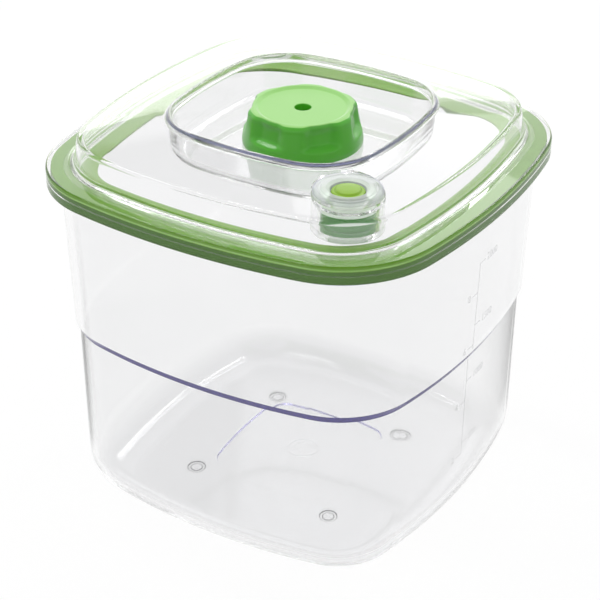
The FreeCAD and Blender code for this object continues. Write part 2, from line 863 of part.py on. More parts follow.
def build_coil(label, radius, wire, foot, top, turns):
    """A wire spring between two seats, as one unbroken tube."""
    foot_level = foot.value + wire.value / 2
    pitch = (top.value - wire.value / 2 - foot_level) / turns
    quarters = [helix_point(radius.value, pitch, foot_level, step / 4)
                for step in range(4 * turns + 1)]
    edges = []
    for (start, start_way), (end, end_way) in zip(quarters, quarters[1:]):
        edges += biarc(start, start_way, end, end_way)
    start, way = quarters[0]
    shell = Part.BRepOffsetAPI.MakePipeShell(Part.Wire(edges))
    shell.add(Part.Wire(Part.makeCircle(wire.value / 2, start, way)))
    shell.build()
    shell.makeSolid()
    coil = doc.addObject("Part::Feature", label)
    coil.Label = label
    coil.Shape = shell.shape()
    samples = [helix_point(radius.value, pitch, foot_level, step / SPRING_SAMPLES_PER_TURN)[0]
               for step in range(SPRING_SAMPLES_PER_TURN * turns + 1)]
    half_turn = SPRING_SAMPLES_PER_TURN // 2
    least = min((high - low).Length for index, low in enumerate(samples)
                for high in samples[index + half_turn:])
    print(f"{label}: least gap between turns {least - wire.value:.2f} mm")
    return coil


def build_check_spring():
    """The light spring that closes the check valve, from its disc up to the nozzle."""
    coil = build_coil("check_spring", (d.check_boss_radius + check_disc_radius) / 2,
                      d.check_spring_wire, check_top, nozzle_bottom, CHECK_SPRING_TURNS)
    coil.Placement = FreeCAD.Placement()
    return coil


# Release valve at the lid's corner
def build_release_collar():
    """The clear ring that guides the button, with a sleeve that holds the washer and seal down."""
    edge = d.collar_edge_radius
    outer = boss_radius - d.collar_set_in
    spigot = d.boss_bore_radius - d.press_clearance
    sleeve = spigot - d.sleeve_wall
    hole = d.button_radius + d.button_clearance
    corners = [
        (hole, collar_bottom),
        (sleeve, collar_bottom),
        (sleeve, release_washer_top),
        (spigot, release_washer_top),
        (spigot, boss_top),
        (outer, boss_top),
        (outer, collar_top - edge),
        (outer - edge, collar_top),
        (hole + d.collar_dish_width, collar_top),
        (hole, collar_top - d.collar_dish_depth),
    ]
    return at_release(revolved("release_collar", corners, {6: (edge, True)}))


def build_release_button():
    """The lime push button, hollow underneath for its spring and stem."""
    socket = d.release_stem_radius + d.press_clearance
    socket_top = button_bottom + d.release_stem_insert
    flange = d.boss_bore_radius - d.button_flange_room
    crown_radius = dome_radius(d.button_radius, d.button_crown)
    corners = [
        (ZERO, socket_top),
        (socket, socket_top),
        (socket, button_bottom),
        (button_post_radius, button_bottom),
        (button_post_radius, button_recess_top),
        (button_recess_radius, button_recess_top),
        (button_recess_radius, button_bottom),
        (flange, button_bottom),
        (flange, collar_bottom),
        (d.button_radius, collar_bottom),
        (d.button_radius, button_top - d.button_crown),
        (ZERO, button_top),
    ]
    return at_release(revolved("release_button", corners, {10: (crown_radius, True)}))


def build_release_stem():
    """The pin from the button to the valve head under the lid."""
    top = button_bottom + d.release_stem_insert
    head = release_neck_radius - d.release_head_set_in
    head_bottom = release_neck_bottom - d.release_head
    corners = [
        (ZERO, head_bottom),
        (head, head_bottom),
        (head, release_neck_bottom),
        (d.release_stem_radius, release_neck_bottom),
        (d.release_stem_radius, top),
        (ZERO, top),
    ]
    return at_release(revolved("release_stem", corners))


def build_release_seal():
    """The green silicone seat in the foot of the boss, its neck reaching through the hole."""
    outer = d.boss_bore_radius - d.release_seal_clearance
    corners = [
        (release_airway_radius, release_neck_bottom),
        (release_neck_radius, release_neck_bottom),
        (release_neck_radius, boss_floor_top),
        (outer, boss_floor_top),
        (outer, release_seal_top),
        (release_airway_radius, release_seal_top),
    ]
    return at_release(revolved("release_seal", corners))


def build_release_washer():
    """The steel washer that the release spring stands on."""
    washer = flat_ring("release_washer", release_airway_radius,
                       d.boss_bore_radius - d.release_washer_room, release_seal_top,
                       release_washer_top)
    return at_release(washer)


def build_release_spring():
    """The spring that pushes the button up."""
    coil = build_coil("release_spring", (button_post_radius + button_recess_radius) / 2,
                      d.release_spring_wire, release_washer_top, button_recess_top,
                      RELEASE_SPRING_TURNS)
    return at_release(coil)


pieces = [
    build_vessel(),
    build_base_feet(),
    build_lid_shell(),
    build_lid_gasket(),
    build_knob(),
    build_port_nozzle(),
    build_knob_stem(),
    build_stem_o_rings(),
    build_stem_clip(),
    build_port_bush(),
    build_bush_seal(),
    build_knob_washer(),
    build_check_valve(),
    build_check_spring(),
    build_release_collar(),
    build_release_button(),
    build_release_stem(),
    build_release_seal(),
    build_release_washer(),
    build_release_spring(),
]
doc.recompute()

failed = [item.Label for item in doc.Objects if {"Invalid", "Error"} & set(item.State)]
failed += [piece.Label for piece in pieces if piece.Shape.isNull() or not piece.Shape.isValid()]
if failed:
    raise RuntimeError("pieces that did not build: " + ", ".join(failed))
os.makedirs("parts", exist_ok=True)
for piece in pieces:
    piece.Shape.exportStep(f"parts/{piece.Label}.step")
    print(f"{piece.Label}: {len(piece.Shape.Solids)} solids, volume {piece.Shape.Volume:.0f} mm3")
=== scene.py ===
"""Looks of a vacuum seal canister: clear vessel and lid, green gasket and knob, lime release button."""
import logging
import math
from abc import ABC, abstractmethod
from collections.abc import Callable, Sequence
from dataclasses import dataclass
from enum import Enum
from functools import cache
from itertools import product
from typing import ClassVar

import bmesh
import bpy
from mathutils import Matrix, Vector


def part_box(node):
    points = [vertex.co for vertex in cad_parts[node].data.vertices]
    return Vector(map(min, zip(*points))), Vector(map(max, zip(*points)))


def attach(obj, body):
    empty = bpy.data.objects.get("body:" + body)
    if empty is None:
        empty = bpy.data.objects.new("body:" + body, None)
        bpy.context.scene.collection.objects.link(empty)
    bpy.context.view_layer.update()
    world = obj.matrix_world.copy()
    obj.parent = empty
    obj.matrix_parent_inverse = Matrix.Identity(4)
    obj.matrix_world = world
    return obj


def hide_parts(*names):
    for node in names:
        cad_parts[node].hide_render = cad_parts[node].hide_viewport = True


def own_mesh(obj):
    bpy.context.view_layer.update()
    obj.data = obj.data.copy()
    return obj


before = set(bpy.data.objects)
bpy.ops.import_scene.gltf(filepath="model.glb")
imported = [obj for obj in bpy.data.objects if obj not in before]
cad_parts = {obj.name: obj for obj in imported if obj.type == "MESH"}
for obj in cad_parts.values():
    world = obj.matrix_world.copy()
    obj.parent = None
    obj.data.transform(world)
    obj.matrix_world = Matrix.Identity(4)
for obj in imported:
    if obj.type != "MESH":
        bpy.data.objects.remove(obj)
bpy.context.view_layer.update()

log = logging.getLogger("canister")

MM = 0.001
UP = Vector((0, 0, 1))
MERGE_DISTANCE = 0.001 * MM
LEVEL_TOLERANCE = 0.005 * MM
THIN_GAP = 0.02 * MM
NUMBER_SIZE = 4.2 * MM
NUMBER_DEPTH = 0.5 * MM
SHARP_ANGLE = math.radians(32)

# Numbers of faces
SIDE_STEPS = 24
CORNER_STEPS = 20
ROUND_STEPS = 4 * (SIDE_STEPS + CORNER_STEPS)
BEND_STEPS = 6
VALVE_STEPS = 96
PIN_STEPS = 48
FOOT_STEPS = 40
SCALLOP_STEPS = 36
KNOB_ROWS = 22
COIL_STEPS = 40
WIRE_SIDES = 10
BAR_CUTS = 8
NUMBER_STEPS = 3

# Sockets of the colour mix node: factor, two colours and the result
MIX_FACTOR, MIX_FIRST, MIX_SECOND, MIX_RESULT = 0, 6, 7, 2

# Bends of moulded edges
HAIR = 0.1 * MM
FINE = 0.2 * MM
SOFT = 0.3 * MM
GENTLE = 0.4 * MM
MILD = 0.5 * MM
BROAD = 0.6 * MM
FULL = 0.8 * MM

Colour = tuple[float, float, float]
Range = tuple[float, float]
Socket = bpy.types.NodeSocket
WHITE: Colour = (1.0, 1.0, 1.0)
UNIT: Range = (0.0, 1.0)


class Body(str, Enum):
    """The frame's moving bodies."""

    CANISTER = "canister"
    LID = "lid"
    KNOB = "knob"
    RELEASE = "release"


class Cut(str, Enum):
    """How one closed shape works on another."""

    UNION = "UNION"
    DIFFERENCE = "DIFFERENCE"


# Sections and outlines
@dataclass(frozen=True)
class Corner:
    """One corner of a section.

    Attributes:
        out: Distance from the axis, or half width on a bowed square.
        up: Height.
        bend: Radius that rounds the corner, zero where it is crisp.
    """

    out: float
    up: float
    bend: float = 0.0

    @property
    def point(self) -> Vector:
        """The corner as a flat vector."""
        return Vector((self.out, self.up))


def rounded(corners: Sequence[Corner], closed: bool = False) -> list[Vector]:
    """Turn the corners of a section into points, with an arc at each bend.

    Args:
        corners: Corners in order.
        closed: Whether the last corner joins the first.

    Returns:
        The section's points.
    """
    points: list[Vector] = []
    count = len(corners)
    for index, corner in enumerate(corners):
        at_end = not closed and index in (0, count - 1)
        if at_end or corner.bend == 0:
            points.append(corner.point)
            continue
        before = (corners[index - 1].point - corner.point).normalized()
        after = (corners[(index + 1) % count].point - corner.point).normalized()
        half = before.angle(after) / 2
        centre = corner.point + (before + after).normalized() * corner.bend / math.sin(half)
        reach = corner.bend / math.tan(half)
        first = corner.point + before * reach - centre
        last = corner.point + after * reach - centre
        start = math.atan2(first.y, first.x)
        turn = math.remainder(math.atan2(last.y, last.x) - start, 2 * math.pi)
        for step in range(BEND_STEPS + 1):
            angle = start + turn * step / BEND_STEPS
            points.append(centre + Vector((math.cos(angle), math.sin(angle))) * corner.bend)
    return points


@dataclass(frozen=True)
class BowedSquare:
    """A square outline with bowed sides and round corners.

    Attributes:
        half: Half width at the middle of a side.
        side_radius: Radius of the bowed sides.
        corner_radius: Radius of the corners.
    """

    half: float
    side_radius: float
    corner_radius: float

    @property
    def back(self) -> float:
        """How far behind the middle the centre of a side's arc lies."""
        return self.side_radius - self.half

    @property
    def reach(self) -> float:
        """Distance of a corner's centre from the middle, along X and along Y."""
        inner = self.side_radius - self.corner_radius
        return (math.sqrt(2 * inner ** 2 - self.back ** 2) - self.back) / 2

    @property
    def lean(self) -> float:
        """Angle of half a side's arc."""
        return math.atan2(self.reach, self.reach + self.back)

    def at(self, half: float) -> "BowedSquare":
        """The parallel outline at another half width."""
        growth = half - self.half
        return BowedSquare(half, self.side_radius + growth, self.corner_radius + growth)

    def half_through(self, place: Vector) -> float:
        """Half width of the parallel outline that runs through a place.

        Args:
            place: The place, of which the height is left out.

        Returns:
            The half width.
        """
        out, along = max(abs(place.x), abs(place.y)), min(abs(place.x), abs(place.y))
        if math.atan2(along, out + self.back) <= self.lean:
            return math.hypot(out + self.back, along) - self.back
        return math.hypot(out - self.reach, along - self.reach) + self.half - self.corner_radius

    def quarter(self) -> list[tuple[Vector, float, int]]:
        """The arcs from the middle of the +X side to the middle of the +Y side.

        Returns:
            Centre, angle and steps of each arc.
        """
        side, corner = SIDE_STEPS // 2, math.pi / 2 - 2 * self.lean
        return [(Vector((-self.back, 0, 0)), self.lean, side),
                (Vector((self.reach, self.reach, 0)), corner, CORNER_STEPS),
                (Vector((0, -self.back, 0)), self.lean, side)]


def new_item(name: str, data: bpy.types.ID) -> bpy.types.Object:
    """Set data in the scene as an object.

    Args:
        name: Name of the object.
        data: Its mesh, curve, camera or lamp.

    Returns:
        The object.
    """
    item = bpy.data.objects.new(name, data)
    bpy.context.scene.collection.objects.link(item)
    return item


def worked_mesh(item: bpy.types.Object) -> bpy.types.Mesh:
    """A new mesh of an object with its modifiers or its letters worked out."""
    evaluated = item.evaluated_get(bpy.context.evaluated_depsgraph_get())
    return bpy.data.meshes.new_from_object(evaluated)


class Shape:
    """A mesh under construction."""

    def __init__(self) -> None:
        """Start with nothing."""
        self.bm = bmesh.new()

    def sweep(self, square: BowedSquare, corners: Sequence[Corner], closed: bool = False) -> None:
        """Carry a section round a bowed square.

        Args:
            square: The outline, whose half width is where the section is drawn.
            corners: Section with half widths as distances out.
            closed: Whether the section is a closed ring.
        """
        self._round(corners, closed, square.quarter())

    def turn(self, corners: Sequence[Corner], closed: bool = False, steps: int = ROUND_STEPS) -> None:
        """Turn a section about the Z axis.

        Args:
            corners: Section with radii as distances out.
            closed: Whether the section is a closed ring.
            steps: Number of faces round the axis, in fours.
        """
        self._round(corners, closed, [(Vector(), math.pi / 2, steps // 4)])

    def _round(self, corners: Sequence[Corner], closed: bool,
               arcs: Sequence[tuple[Vector, float, int]]) -> None:
        """Spin a section through a quarter's arcs, then set four such quarters round the axis.

        Args:
            corners: Section in the XZ plane.
            closed: Whether the section is a closed ring.
            arcs: Centre, angle and steps of each spin.
        """
        part = bmesh.new()
        verts = [part.verts.new((point.x, 0, point.y)) for point in rounded(corners, closed)]
        pairs = list(zip(verts, verts[1:])) + ([(verts[-1], verts[0])] if closed else [])
        geometry = verts + [part.edges.new(pair) for pair in pairs]
        for centre, angle, steps in arcs:
            spun = bmesh.ops.spin(part, geom=geometry, cent=centre, axis=UP, angle=angle, steps=steps)
            geometry = spun["geom_last"]
        mesh = bpy.data.meshes.new("quarter")
        part.to_mesh(mesh)
        part.free()
        for _ in range(4):
            self.bm.from_mesh(mesh)
            mesh.transform(Matrix.Rotation(math.pi / 2, 4, "Z"))
        bpy.data.meshes.remove(mesh)
        self.merge()

    def merge(self) -> None:
        """Join points that lie on each other."""
        bmesh.ops.remove_doubles(self.bm, verts=self.bm.verts, dist=MERGE_DISTANCE)

    def loop_at(self, level: float) -> list[bmesh.types.BMEdge]:
        """The open edges that lie on one level."""
        return [edge for edge in self.bm.edges if len(edge.link_faces) < 2
                and all(abs(vert.co.z - level) < LEVEL_TOLERANCE for vert in edge.verts)]

    def bridge(self, *levels: float) -> None:
        """Span the open loops that lie on the given levels."""
        edges = {edge for level in levels for edge in self.loop_at(level)}
        bmesh.ops.bridge_loops(self.bm, edges=list(edges))

    def cap(self, level: float) -> None:
        """Close the open loops on a level with a flat face, leaving holes where loops lie inside others."""
        bmesh.ops.triangle_fill(self.bm, use_beauty=True, edges=self.loop_at(level))

    def move(self, offset: Vector) -> None:
        """Shift the whole shape."""
        bmesh.ops.translate(self.bm, verts=self.bm.verts, vec=offset)

    def add_mesh(self, mesh: bpy.types.Mesh) -> None:
        """Take in a finished mesh and discard its data block."""
        self.bm.from_mesh(mesh)
        bpy.data.meshes.remove(mesh)

    def combine(self, other: "Shape", cut: Cut) -> None:
        """Join another closed shape to this one, or cut it away.

        Args:
            other: The tool, used up by this.
            cut: How it works on this shape.
        """
        base, tool = self.to_object("base"), other.to_object("tool")
        modifier = base.modifiers.new("combine", "BOOLEAN")
        modifier.operation = cut.value
        modifier.solver = "EXACT"
        modifier.object = tool
        mesh = worked_mesh(base)
        for item in (base, tool):
            bpy.data.meshes.remove(item.data)
        self.bm = bmesh.new()
        self.add_mesh(mesh)

    def to_mesh(self, name: str) -> bpy.types.Mesh:
        """Turn the shape into mesh data, which uses it up.

        Args:
            name: Name of the mesh.

        Returns:
            The mesh.
        """
        mesh = bpy.data.meshes.new(name)
        self.bm.to_mesh(mesh)
        self.bm.free()
        return mesh

    def to_object(self, name: str) -> bpy.types.Object:
        """Turn the shape into an object of the scene, with its edges smooth or sharp.

        Args:
            name: Name of the object.

        Returns:
            The object.
        """
        bmesh.ops.recalc_face_normals(self.bm, faces=self.bm.faces)
        for face in self.bm.faces:
            face.smooth = True
        for edge in self.bm.edges:
            edge.smooth = len(edge.link_faces) == 2 and edge.calc_face_angle(0) < SHARP_ANGLE
        return new_item(name, self.to_mesh(name))

    def paint(self, index: int, covers: Callable[[Vector], bool], whole: bool = False) -> None:
        """Give the covered faces another of the piece's finishes.

        Args:
            index: Number of the finish.
            covers: Test of a place.
            whole: Whether all of a face's corners must be covered, and not just its middle.
        """
        for face in self.bm.faces:
            places = [vert.co for vert in face.verts] if whole else [face.calc_center_median()]
            if all(covers(place) for place in places):
                face.material_index = index

    def finish(self, name: str, finishes: Sequence["Finish"], body: Body, slot: str,
               *nodes: str) -> bpy.types.Object:
        """Make the shape a piece of the canister.

        Args:
            name: Name of the piece.
            finishes: Its finish, followed by those that were painted on.
            body: Body that it rides on.
            slot: Record slot that the finish belongs to; not used.
            nodes: CAD nodes that it stands for.

        Returns:
            The finished piece.
        """
        piece = self.to_object(name)
        weighted = piece.modifiers.new("weighted_normals", "WEIGHTED_NORMAL")
        weighted.keep_sharp = True
        for finish in finishes:
            piece.data.materials.append(finish.material())
        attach(piece, body.value)
        if nodes:
            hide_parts(*nodes)
        log.info("piece %s: %d faces", name, len(piece.data.polygons))
        return piece


# Finishes
class Graph:
    """A node tree being wired up."""

    def __init__(self, tree: bpy.types.NodeTree) -> None:
        """Start from an empty tree."""
        self.tree = tree
        tree.nodes.clear()

    def add(self, kind: str, **inputs: object) -> bpy.types.Node:
        """Place a node and set or link its inputs.

        Args:
            kind: Node type without the ShaderNode prefix, or its full name.
            inputs: Socket names with underscores for spaces; values are sockets or constants.

        Returns:
            The new node.
        """
        node = self.tree.nodes.new(kind if kind.startswith("Node") else f"ShaderNode{kind}")
        for name, value in inputs.items():
            self.feed(node, name.replace("_", " "), value)
        return node

    def feed(self, node: bpy.types.Node, name: str | int, value: object) -> None:
        """Set or link one input of a node.

        Args:
            node: The node.
            name: Name or number of the input.
            value: Socket to link, or constant to set.
        """
        socket = node.inputs[name]
        if isinstance(value, bpy.types.NodeSocket):
            self.tree.links.new(value, socket)
        elif isinstance(value, tuple) and socket.type == "RGBA":
            socket.default_value = (*value, 1.0)
        else:
            socket.default_value = value

    def math(self, operation: str, first: object, second: object) -> Socket:
        """Place a math node and return its result.

        Args:
            operation: Name of the operation.
            first: First value or socket.
            second: Second value or socket.

        Returns:
            The result.
        """
        node = self.add("Math")
        node.operation = operation
        self.feed(node, 0, first)
        self.feed(node, 1, second)
        return node.outputs[0]

    def blend(self, factor: Socket, first: object, second: object) -> Socket:
        """Mix two colours and return the result.

        Args:
            factor: Share of the second colour.
            first: First colour or socket.
            second: Second colour or socket.

        Returns:
            The mixed colour.
        """
        node = self.add("Mix")
        node.data_type = "RGBA"
        for index, value in ((MIX_FACTOR, factor), (MIX_FIRST, first), (MIX_SECOND, second)):
            self.feed(node, index, value)
        return node.outputs[MIX_RESULT]

    def marked(self, flow: Socket, colour: Colour, share: float) -> Socket:
        """A colour that the flow marks dim to a share of it."""
        return self.blend(flow, colour, tuple(share * part for part in colour))

    def ranged(self, value: Socket, result: Range = UNIT, source: Range = UNIT) -> Socket:
        """Spread a range of values over another range, held at its ends.

        Args:
            value: Value to spread.
            result: Ends of the range that it is spread over.
            source: Ends of the range that it comes from.

        Returns:
            The result.
        """
        node = self.add("MapRange", Value=value, From_Min=source[0], From_Max=source[1],
                        To_Min=result[0], To_Max=result[1])
        return node.outputs[0]

    def height(self, coordinates: str) -> Socket:
        """The height in one of the texture coordinates."""
        place = self.add("TexCoord").outputs[coordinates]
        return self.add("SeparateXYZ", Vector=place).outputs["Z"]

    def mix_shaders(self, factor: Socket, first: bpy.types.Node, second: bpy.types.Node) -> bpy.types.Node:
        """Mix two shaders by a mask.

        Args:
            factor: Share of the second shader.
            first: First shader.
            second: Second shader.

        Returns:
            The mixed shader.
        """
        node = self.add("MixShader")
        for index, value in enumerate((factor, first.outputs[0], second.outputs[0])):
            self.feed(node, index, value)
        return node

    def seen(self) -> Socket:
        """A mask for rays that show a background: seen directly, reflected or through glass.

        Returns:
            The mask.
        """
        rays = self.add("LightPath").outputs
        mirrored = self.math("MAXIMUM", rays["Is Glossy Ray"], rays["Is Transmission Ray"])
        return self.math("MAXIMUM", rays["Is Camera Ray"], mirrored)


def moulding_group() -> bpy.types.NodeTree:
    """Make the shader group with the flow marks and the fine grain of a moulded surface.

    Returns:
        The group's tree.
    """
    tree = bpy.data.node_groups.new("moulded_surface", "ShaderNodeTree")
    graph = Graph(tree)
    for label, kind in (("Vector", "Vector"), ("Flow Scale", "Float"), ("Grain Scale", "Float")):
        tree.interface.new_socket(label, in_out="INPUT", socket_type=f"NodeSocket{kind}")
    for label in ("Flow", "Grain"):
        tree.interface.new_socket(label, in_out="OUTPUT", socket_type="NodeSocketFloat")
    given = graph.add("NodeGroupInput").outputs
    result = graph.add("NodeGroupOutput")
    for label, detail, roughness in (("Flow", 3.0, 0.5), ("Grain", 2.0, 0.6)):
        noise = graph.add("TexNoise", Vector=given["Vector"], Scale=given[f"{label} Scale"],
                          Detail=detail, Roughness=roughness)
        graph.feed(result, label, noise.outputs[0])
    return tree


MOULDING = moulding_group()


@dataclass(frozen=True)
class Finish(ABC):
    """A moulded finish, whose material is built once.

    Attributes:
        name: Name of the material.
        flow_scale: Scale of the flow marks.
        grain_scale: Scale of the fine grain.
    """

    name: str
    flow_scale: ClassVar[float]
    grain_scale: ClassVar[float]

    @cache
    def material(self) -> bpy.types.Material:
        """Build the material on object coordinates, or return the one built before.

        Returns:
            The material.
        """
        material = bpy.data.materials.new(self.name)
        material.use_nodes = True
        graph = Graph(material.node_tree)
        surface = graph.add("Group")
        surface.node_tree = MOULDING
        graph.feed(surface, "Vector", graph.add("TexCoord").outputs["Object"])
        graph.feed(surface, "Flow Scale", self.flow_scale)
        graph.feed(surface, "Grain Scale", self.grain_scale)
        shader = self.shader(graph, surface.outputs["Flow"], surface.outputs["Grain"])
        graph.add("OutputMaterial", Surface=shader.outputs[0])
        return material

    @abstractmethod
    def shader(self, graph: Graph, flow: Socket, grain: Socket) -> bpy.types.Node:
        """Wire up the finish.

        Args:
            graph: The material's graph.
            flow: Mask of the flow marks.
            grain: Mask of the fine grain.

        Returns:
            The shader.
        """


@dataclass(frozen=True)
class ClearFinish(Finish):
    """Clear moulded plastic.

    Attributes:
        wall: Colour of light that has passed a wall.
        tint: Deeper colour, painted as shade along edges, that replaces it where the surface is seen from
            its front.
        rough: Roughness of the polished wall.
        coat: Weight of the gloss coat.
        coat_ior: Refractive index of the coat.
        ior: Refractive index.
        pale: Colour that the wall fades to with height.
        fade: Heights where that begins and ends.
        wall_marks: Share to which the flow marks dim the wall.
        tint_marks: Share to which they dim the tint.
        spread: What the grain adds to the roughness.
        shadow: Colour of light that passes each surface into a shadow.
    """

    wall: Colour
    tint: Colour | None = None
    rough: float = 0.02
    coat: float = 0.0
    coat_ior: float = 1.5
    ior: float = 1.5
    pale: Colour | None = None
    fade: Range = UNIT
    flow_scale: ClassVar[float] = 30.0
    grain_scale: ClassVar[float] = 700.0
    wall_marks: ClassVar[float] = 0.985
    tint_marks: ClassVar[float] = 0.85
    spread: ClassVar[float] = 0.03
    shadow: ClassVar[Colour] = (0.97, 0.97, 0.97)

    def shader(self, graph: Graph, flow: Socket, grain: Socket) -> bpy.types.Node:
        """Let light through, and shadow and bounced light straight through.

        Args:
            graph: The material's graph.
            flow: Mask of the flow marks.
            grain: Mask of the fine grain.

        Returns:
            The shader.
        """
        colour = graph.marked(flow, self.wall, self.wall_marks)
        # Used for painted shade on the vessel's base: the colour goes from darker low down to pale higher
        # up.
        if self.pale is not None:
            rise = graph.ranged(graph.height("Object"), source=self.fade)
            colour = graph.blend(rise, colour, self.pale)
        # Painted shade: the tint darkens the wall where it is seen from its front, standing in for the dark
        # lines at edges.
        if self.tint is not None:
            behind = graph.add("NewGeometry").outputs["Backfacing"]
            colour = graph.blend(behind, graph.marked(flow, self.tint, self.tint_marks), colour)
        bump = graph.add("Bump", Strength=0.015, Distance=0.1 * MM, Height=flow)
        rough = graph.ranged(grain, (self.rough, self.rough + self.spread))
        plastic = graph.add("BsdfPrincipled", Base_Color=colour, Roughness=rough, IOR=self.ior,
                            Transmission_Weight=1.0, Coat_Weight=self.coat, Coat_Roughness=self.rough,
                            Coat_IOR=self.coat_ior, Normal=bump.outputs[0])
        through = graph.add("BsdfTransparent", Color=self.shadow)
        rays = graph.add("LightPath").outputs
        passing = graph.math("MAXIMUM", rays["Is Shadow Ray"], rays["Is Diffuse Ray"])
        return graph.mix_shaders(passing, plastic, through)


@dataclass(frozen=True)
class SolidFinish(Finish):
    """Opaque moulded plastic or rubber, or drawn metal.

    Attributes:
        light: Colour of the lighter flow marks.
        dark: Colour of the darker flow marks.
        rough: Roughness.
        metal: Share of metal in the surface.
        glow: Share of light scattered under the surface.
        coat: Weight of the gloss coat.
        sheen: Weight of the pale sheen at grazing angles.
        spread: How far the grain moves the roughness each way.
        grain_depth: Depth of the fine grain.
        glow_depth: How deep the scattered light goes.
    """

    light: Colour
    dark: Colour
    rough: float
    metal: float = 0.0
    glow: float = 0.0
    coat: float = 0.0
    sheen: float = 0.0
    flow_scale: ClassVar[float] = 45.0
    grain_scale: ClassVar[float] = 2200.0
    spread: ClassVar[float] = 0.05
    grain_depth: ClassVar[float] = 0.02 * MM
    glow_depth: ClassVar[float] = 2.0 * MM

    def shader(self, graph: Graph, flow: Socket, grain: Socket) -> bpy.types.Node:
        """Colour the surface by its flow marks and roughen it by its grain.

        Args:
            graph: The material's graph.
            flow: Mask of the flow marks.
            grain: Mask of the fine grain.

        Returns:
            The shader.
        """
        colour = graph.blend(flow, self.dark, self.light)
        rough = graph.ranged(grain, (self.rough - self.spread, self.rough + self.spread))
        bump = graph.add("Bump", Strength=0.25, Distance=self.grain_depth, Height=grain)
        solid = graph.add("BsdfPrincipled", Base_Color=colour, Roughness=rough, Metallic=self.metal,
                          Coat_Weight=self.coat, Coat_Roughness=0.2,
                          Sheen_Weight=self.sheen, Sheen_Roughness=0.4, Normal=bump.outputs[0])
        if self.glow:
            graph.feed(solid, "Subsurface Weight", self.glow)
            graph.feed(solid, "Subsurface Scale", self.glow_depth)
        return solid


@dataclass(frozen=True)
class VeilFinish(Finish):
    """Milky plastic that lets part of what lies behind it show.

    Attributes:
        colour: Colour of the veil.
        strength: How far it hides what lies behind.
        rim: Colour painted as shade where the surface turns away.
        painted_glow: Strength of light that the plastic gives off as painted glow, standing in for light
            scattered inside it.
        marks: Share to which the flow marks dim the colour.
        patches: Shares of the strength between which it varies.
        turning: Range of facing over which the rim's colour comes in.
    """

    colour: Colour
    strength: float
    rim: Colour | None = None
    painted_glow: float = 0.0
    flow_scale: ClassVar[float] = 200.0
    grain_scale: ClassVar[float] = 3000.0
    marks: ClassVar[float] = 0.9
    patches: ClassVar[Range] = (0.8, 1.2)
    turning: ClassVar[Range] = (0.45, 0.95)

    def shader(self, graph: Graph, flow: Socket, grain: Socket) -> bpy.types.Node:
        """Veil what lies behind, with painted shade where the surface turns away.

        Args:
            graph: The material's graph.
            flow: Mask of the flow marks.
            grain: Mask of the fine grain; not used.

        Returns:
            The shader.
        """
        colour = graph.marked(flow, self.colour, self.marks)
        alpha = graph.ranged(flow, tuple(share * self.strength for share in self.patches))
        # Painted shade: the rim's colour comes in where the surface turns away.
        if self.rim is not None:
            facing = graph.add("LayerWeight", Blend=0.5).outputs["Facing"]
            turned = graph.ranged(facing, source=self.turning)
            colour = graph.blend(turned, colour, self.rim)
            alpha = graph.math("MAXIMUM", alpha, turned)
        # Painted light: the emission makes the plastic glow though no lamp lights it.
        return graph.add("BsdfPrincipled", Base_Color=colour, Roughness=0.3, Alpha=alpha,
                         Emission_Color=colour, Emission_Strength=self.painted_glow)


@dataclass(frozen=True)
class FloorFinish(Finish):
    """Pale floor that is seen nearly white and keeps a soft shadow.

    Attributes:
        light: Colour of its lighter patches.
        dark: Colour of its darker patches.
        bounce: Colour of the light that it throws back.
        white: Share of plain white in what is seen.
    """

    light: Colour = (0.97, 0.97, 0.97)
    dark: Colour = (0.95, 0.95, 0.95)
    bounce: Colour = (0.45, 0.45, 0.45)
    white: float = 0.93
    flow_scale: ClassVar[float] = 3.0
    grain_scale: ClassVar[float] = 300.0

    def shader(self, graph: Graph, flow: Socket, grain: Socket) -> bpy.types.Node:
        """Mix the matt floor with white where it is seen.

        Args:
            graph: The material's graph.
            flow: Mask of the flow marks.
            grain: Mask of the fine grain; not used.

        Returns:
            The shader.
        """
        colour = graph.blend(flow, self.dark, self.light)
        bounced = graph.add("LightPath").outputs["Is Diffuse Ray"]
        matt = graph.add("BsdfDiffuse", Color=graph.blend(bounced, colour, self.bounce))
        white = graph.add("Emission", Color=WHITE, Strength=1.0)
        return graph.mix_shaders(graph.math("MULTIPLY", graph.seen(), self.white), matt, white)


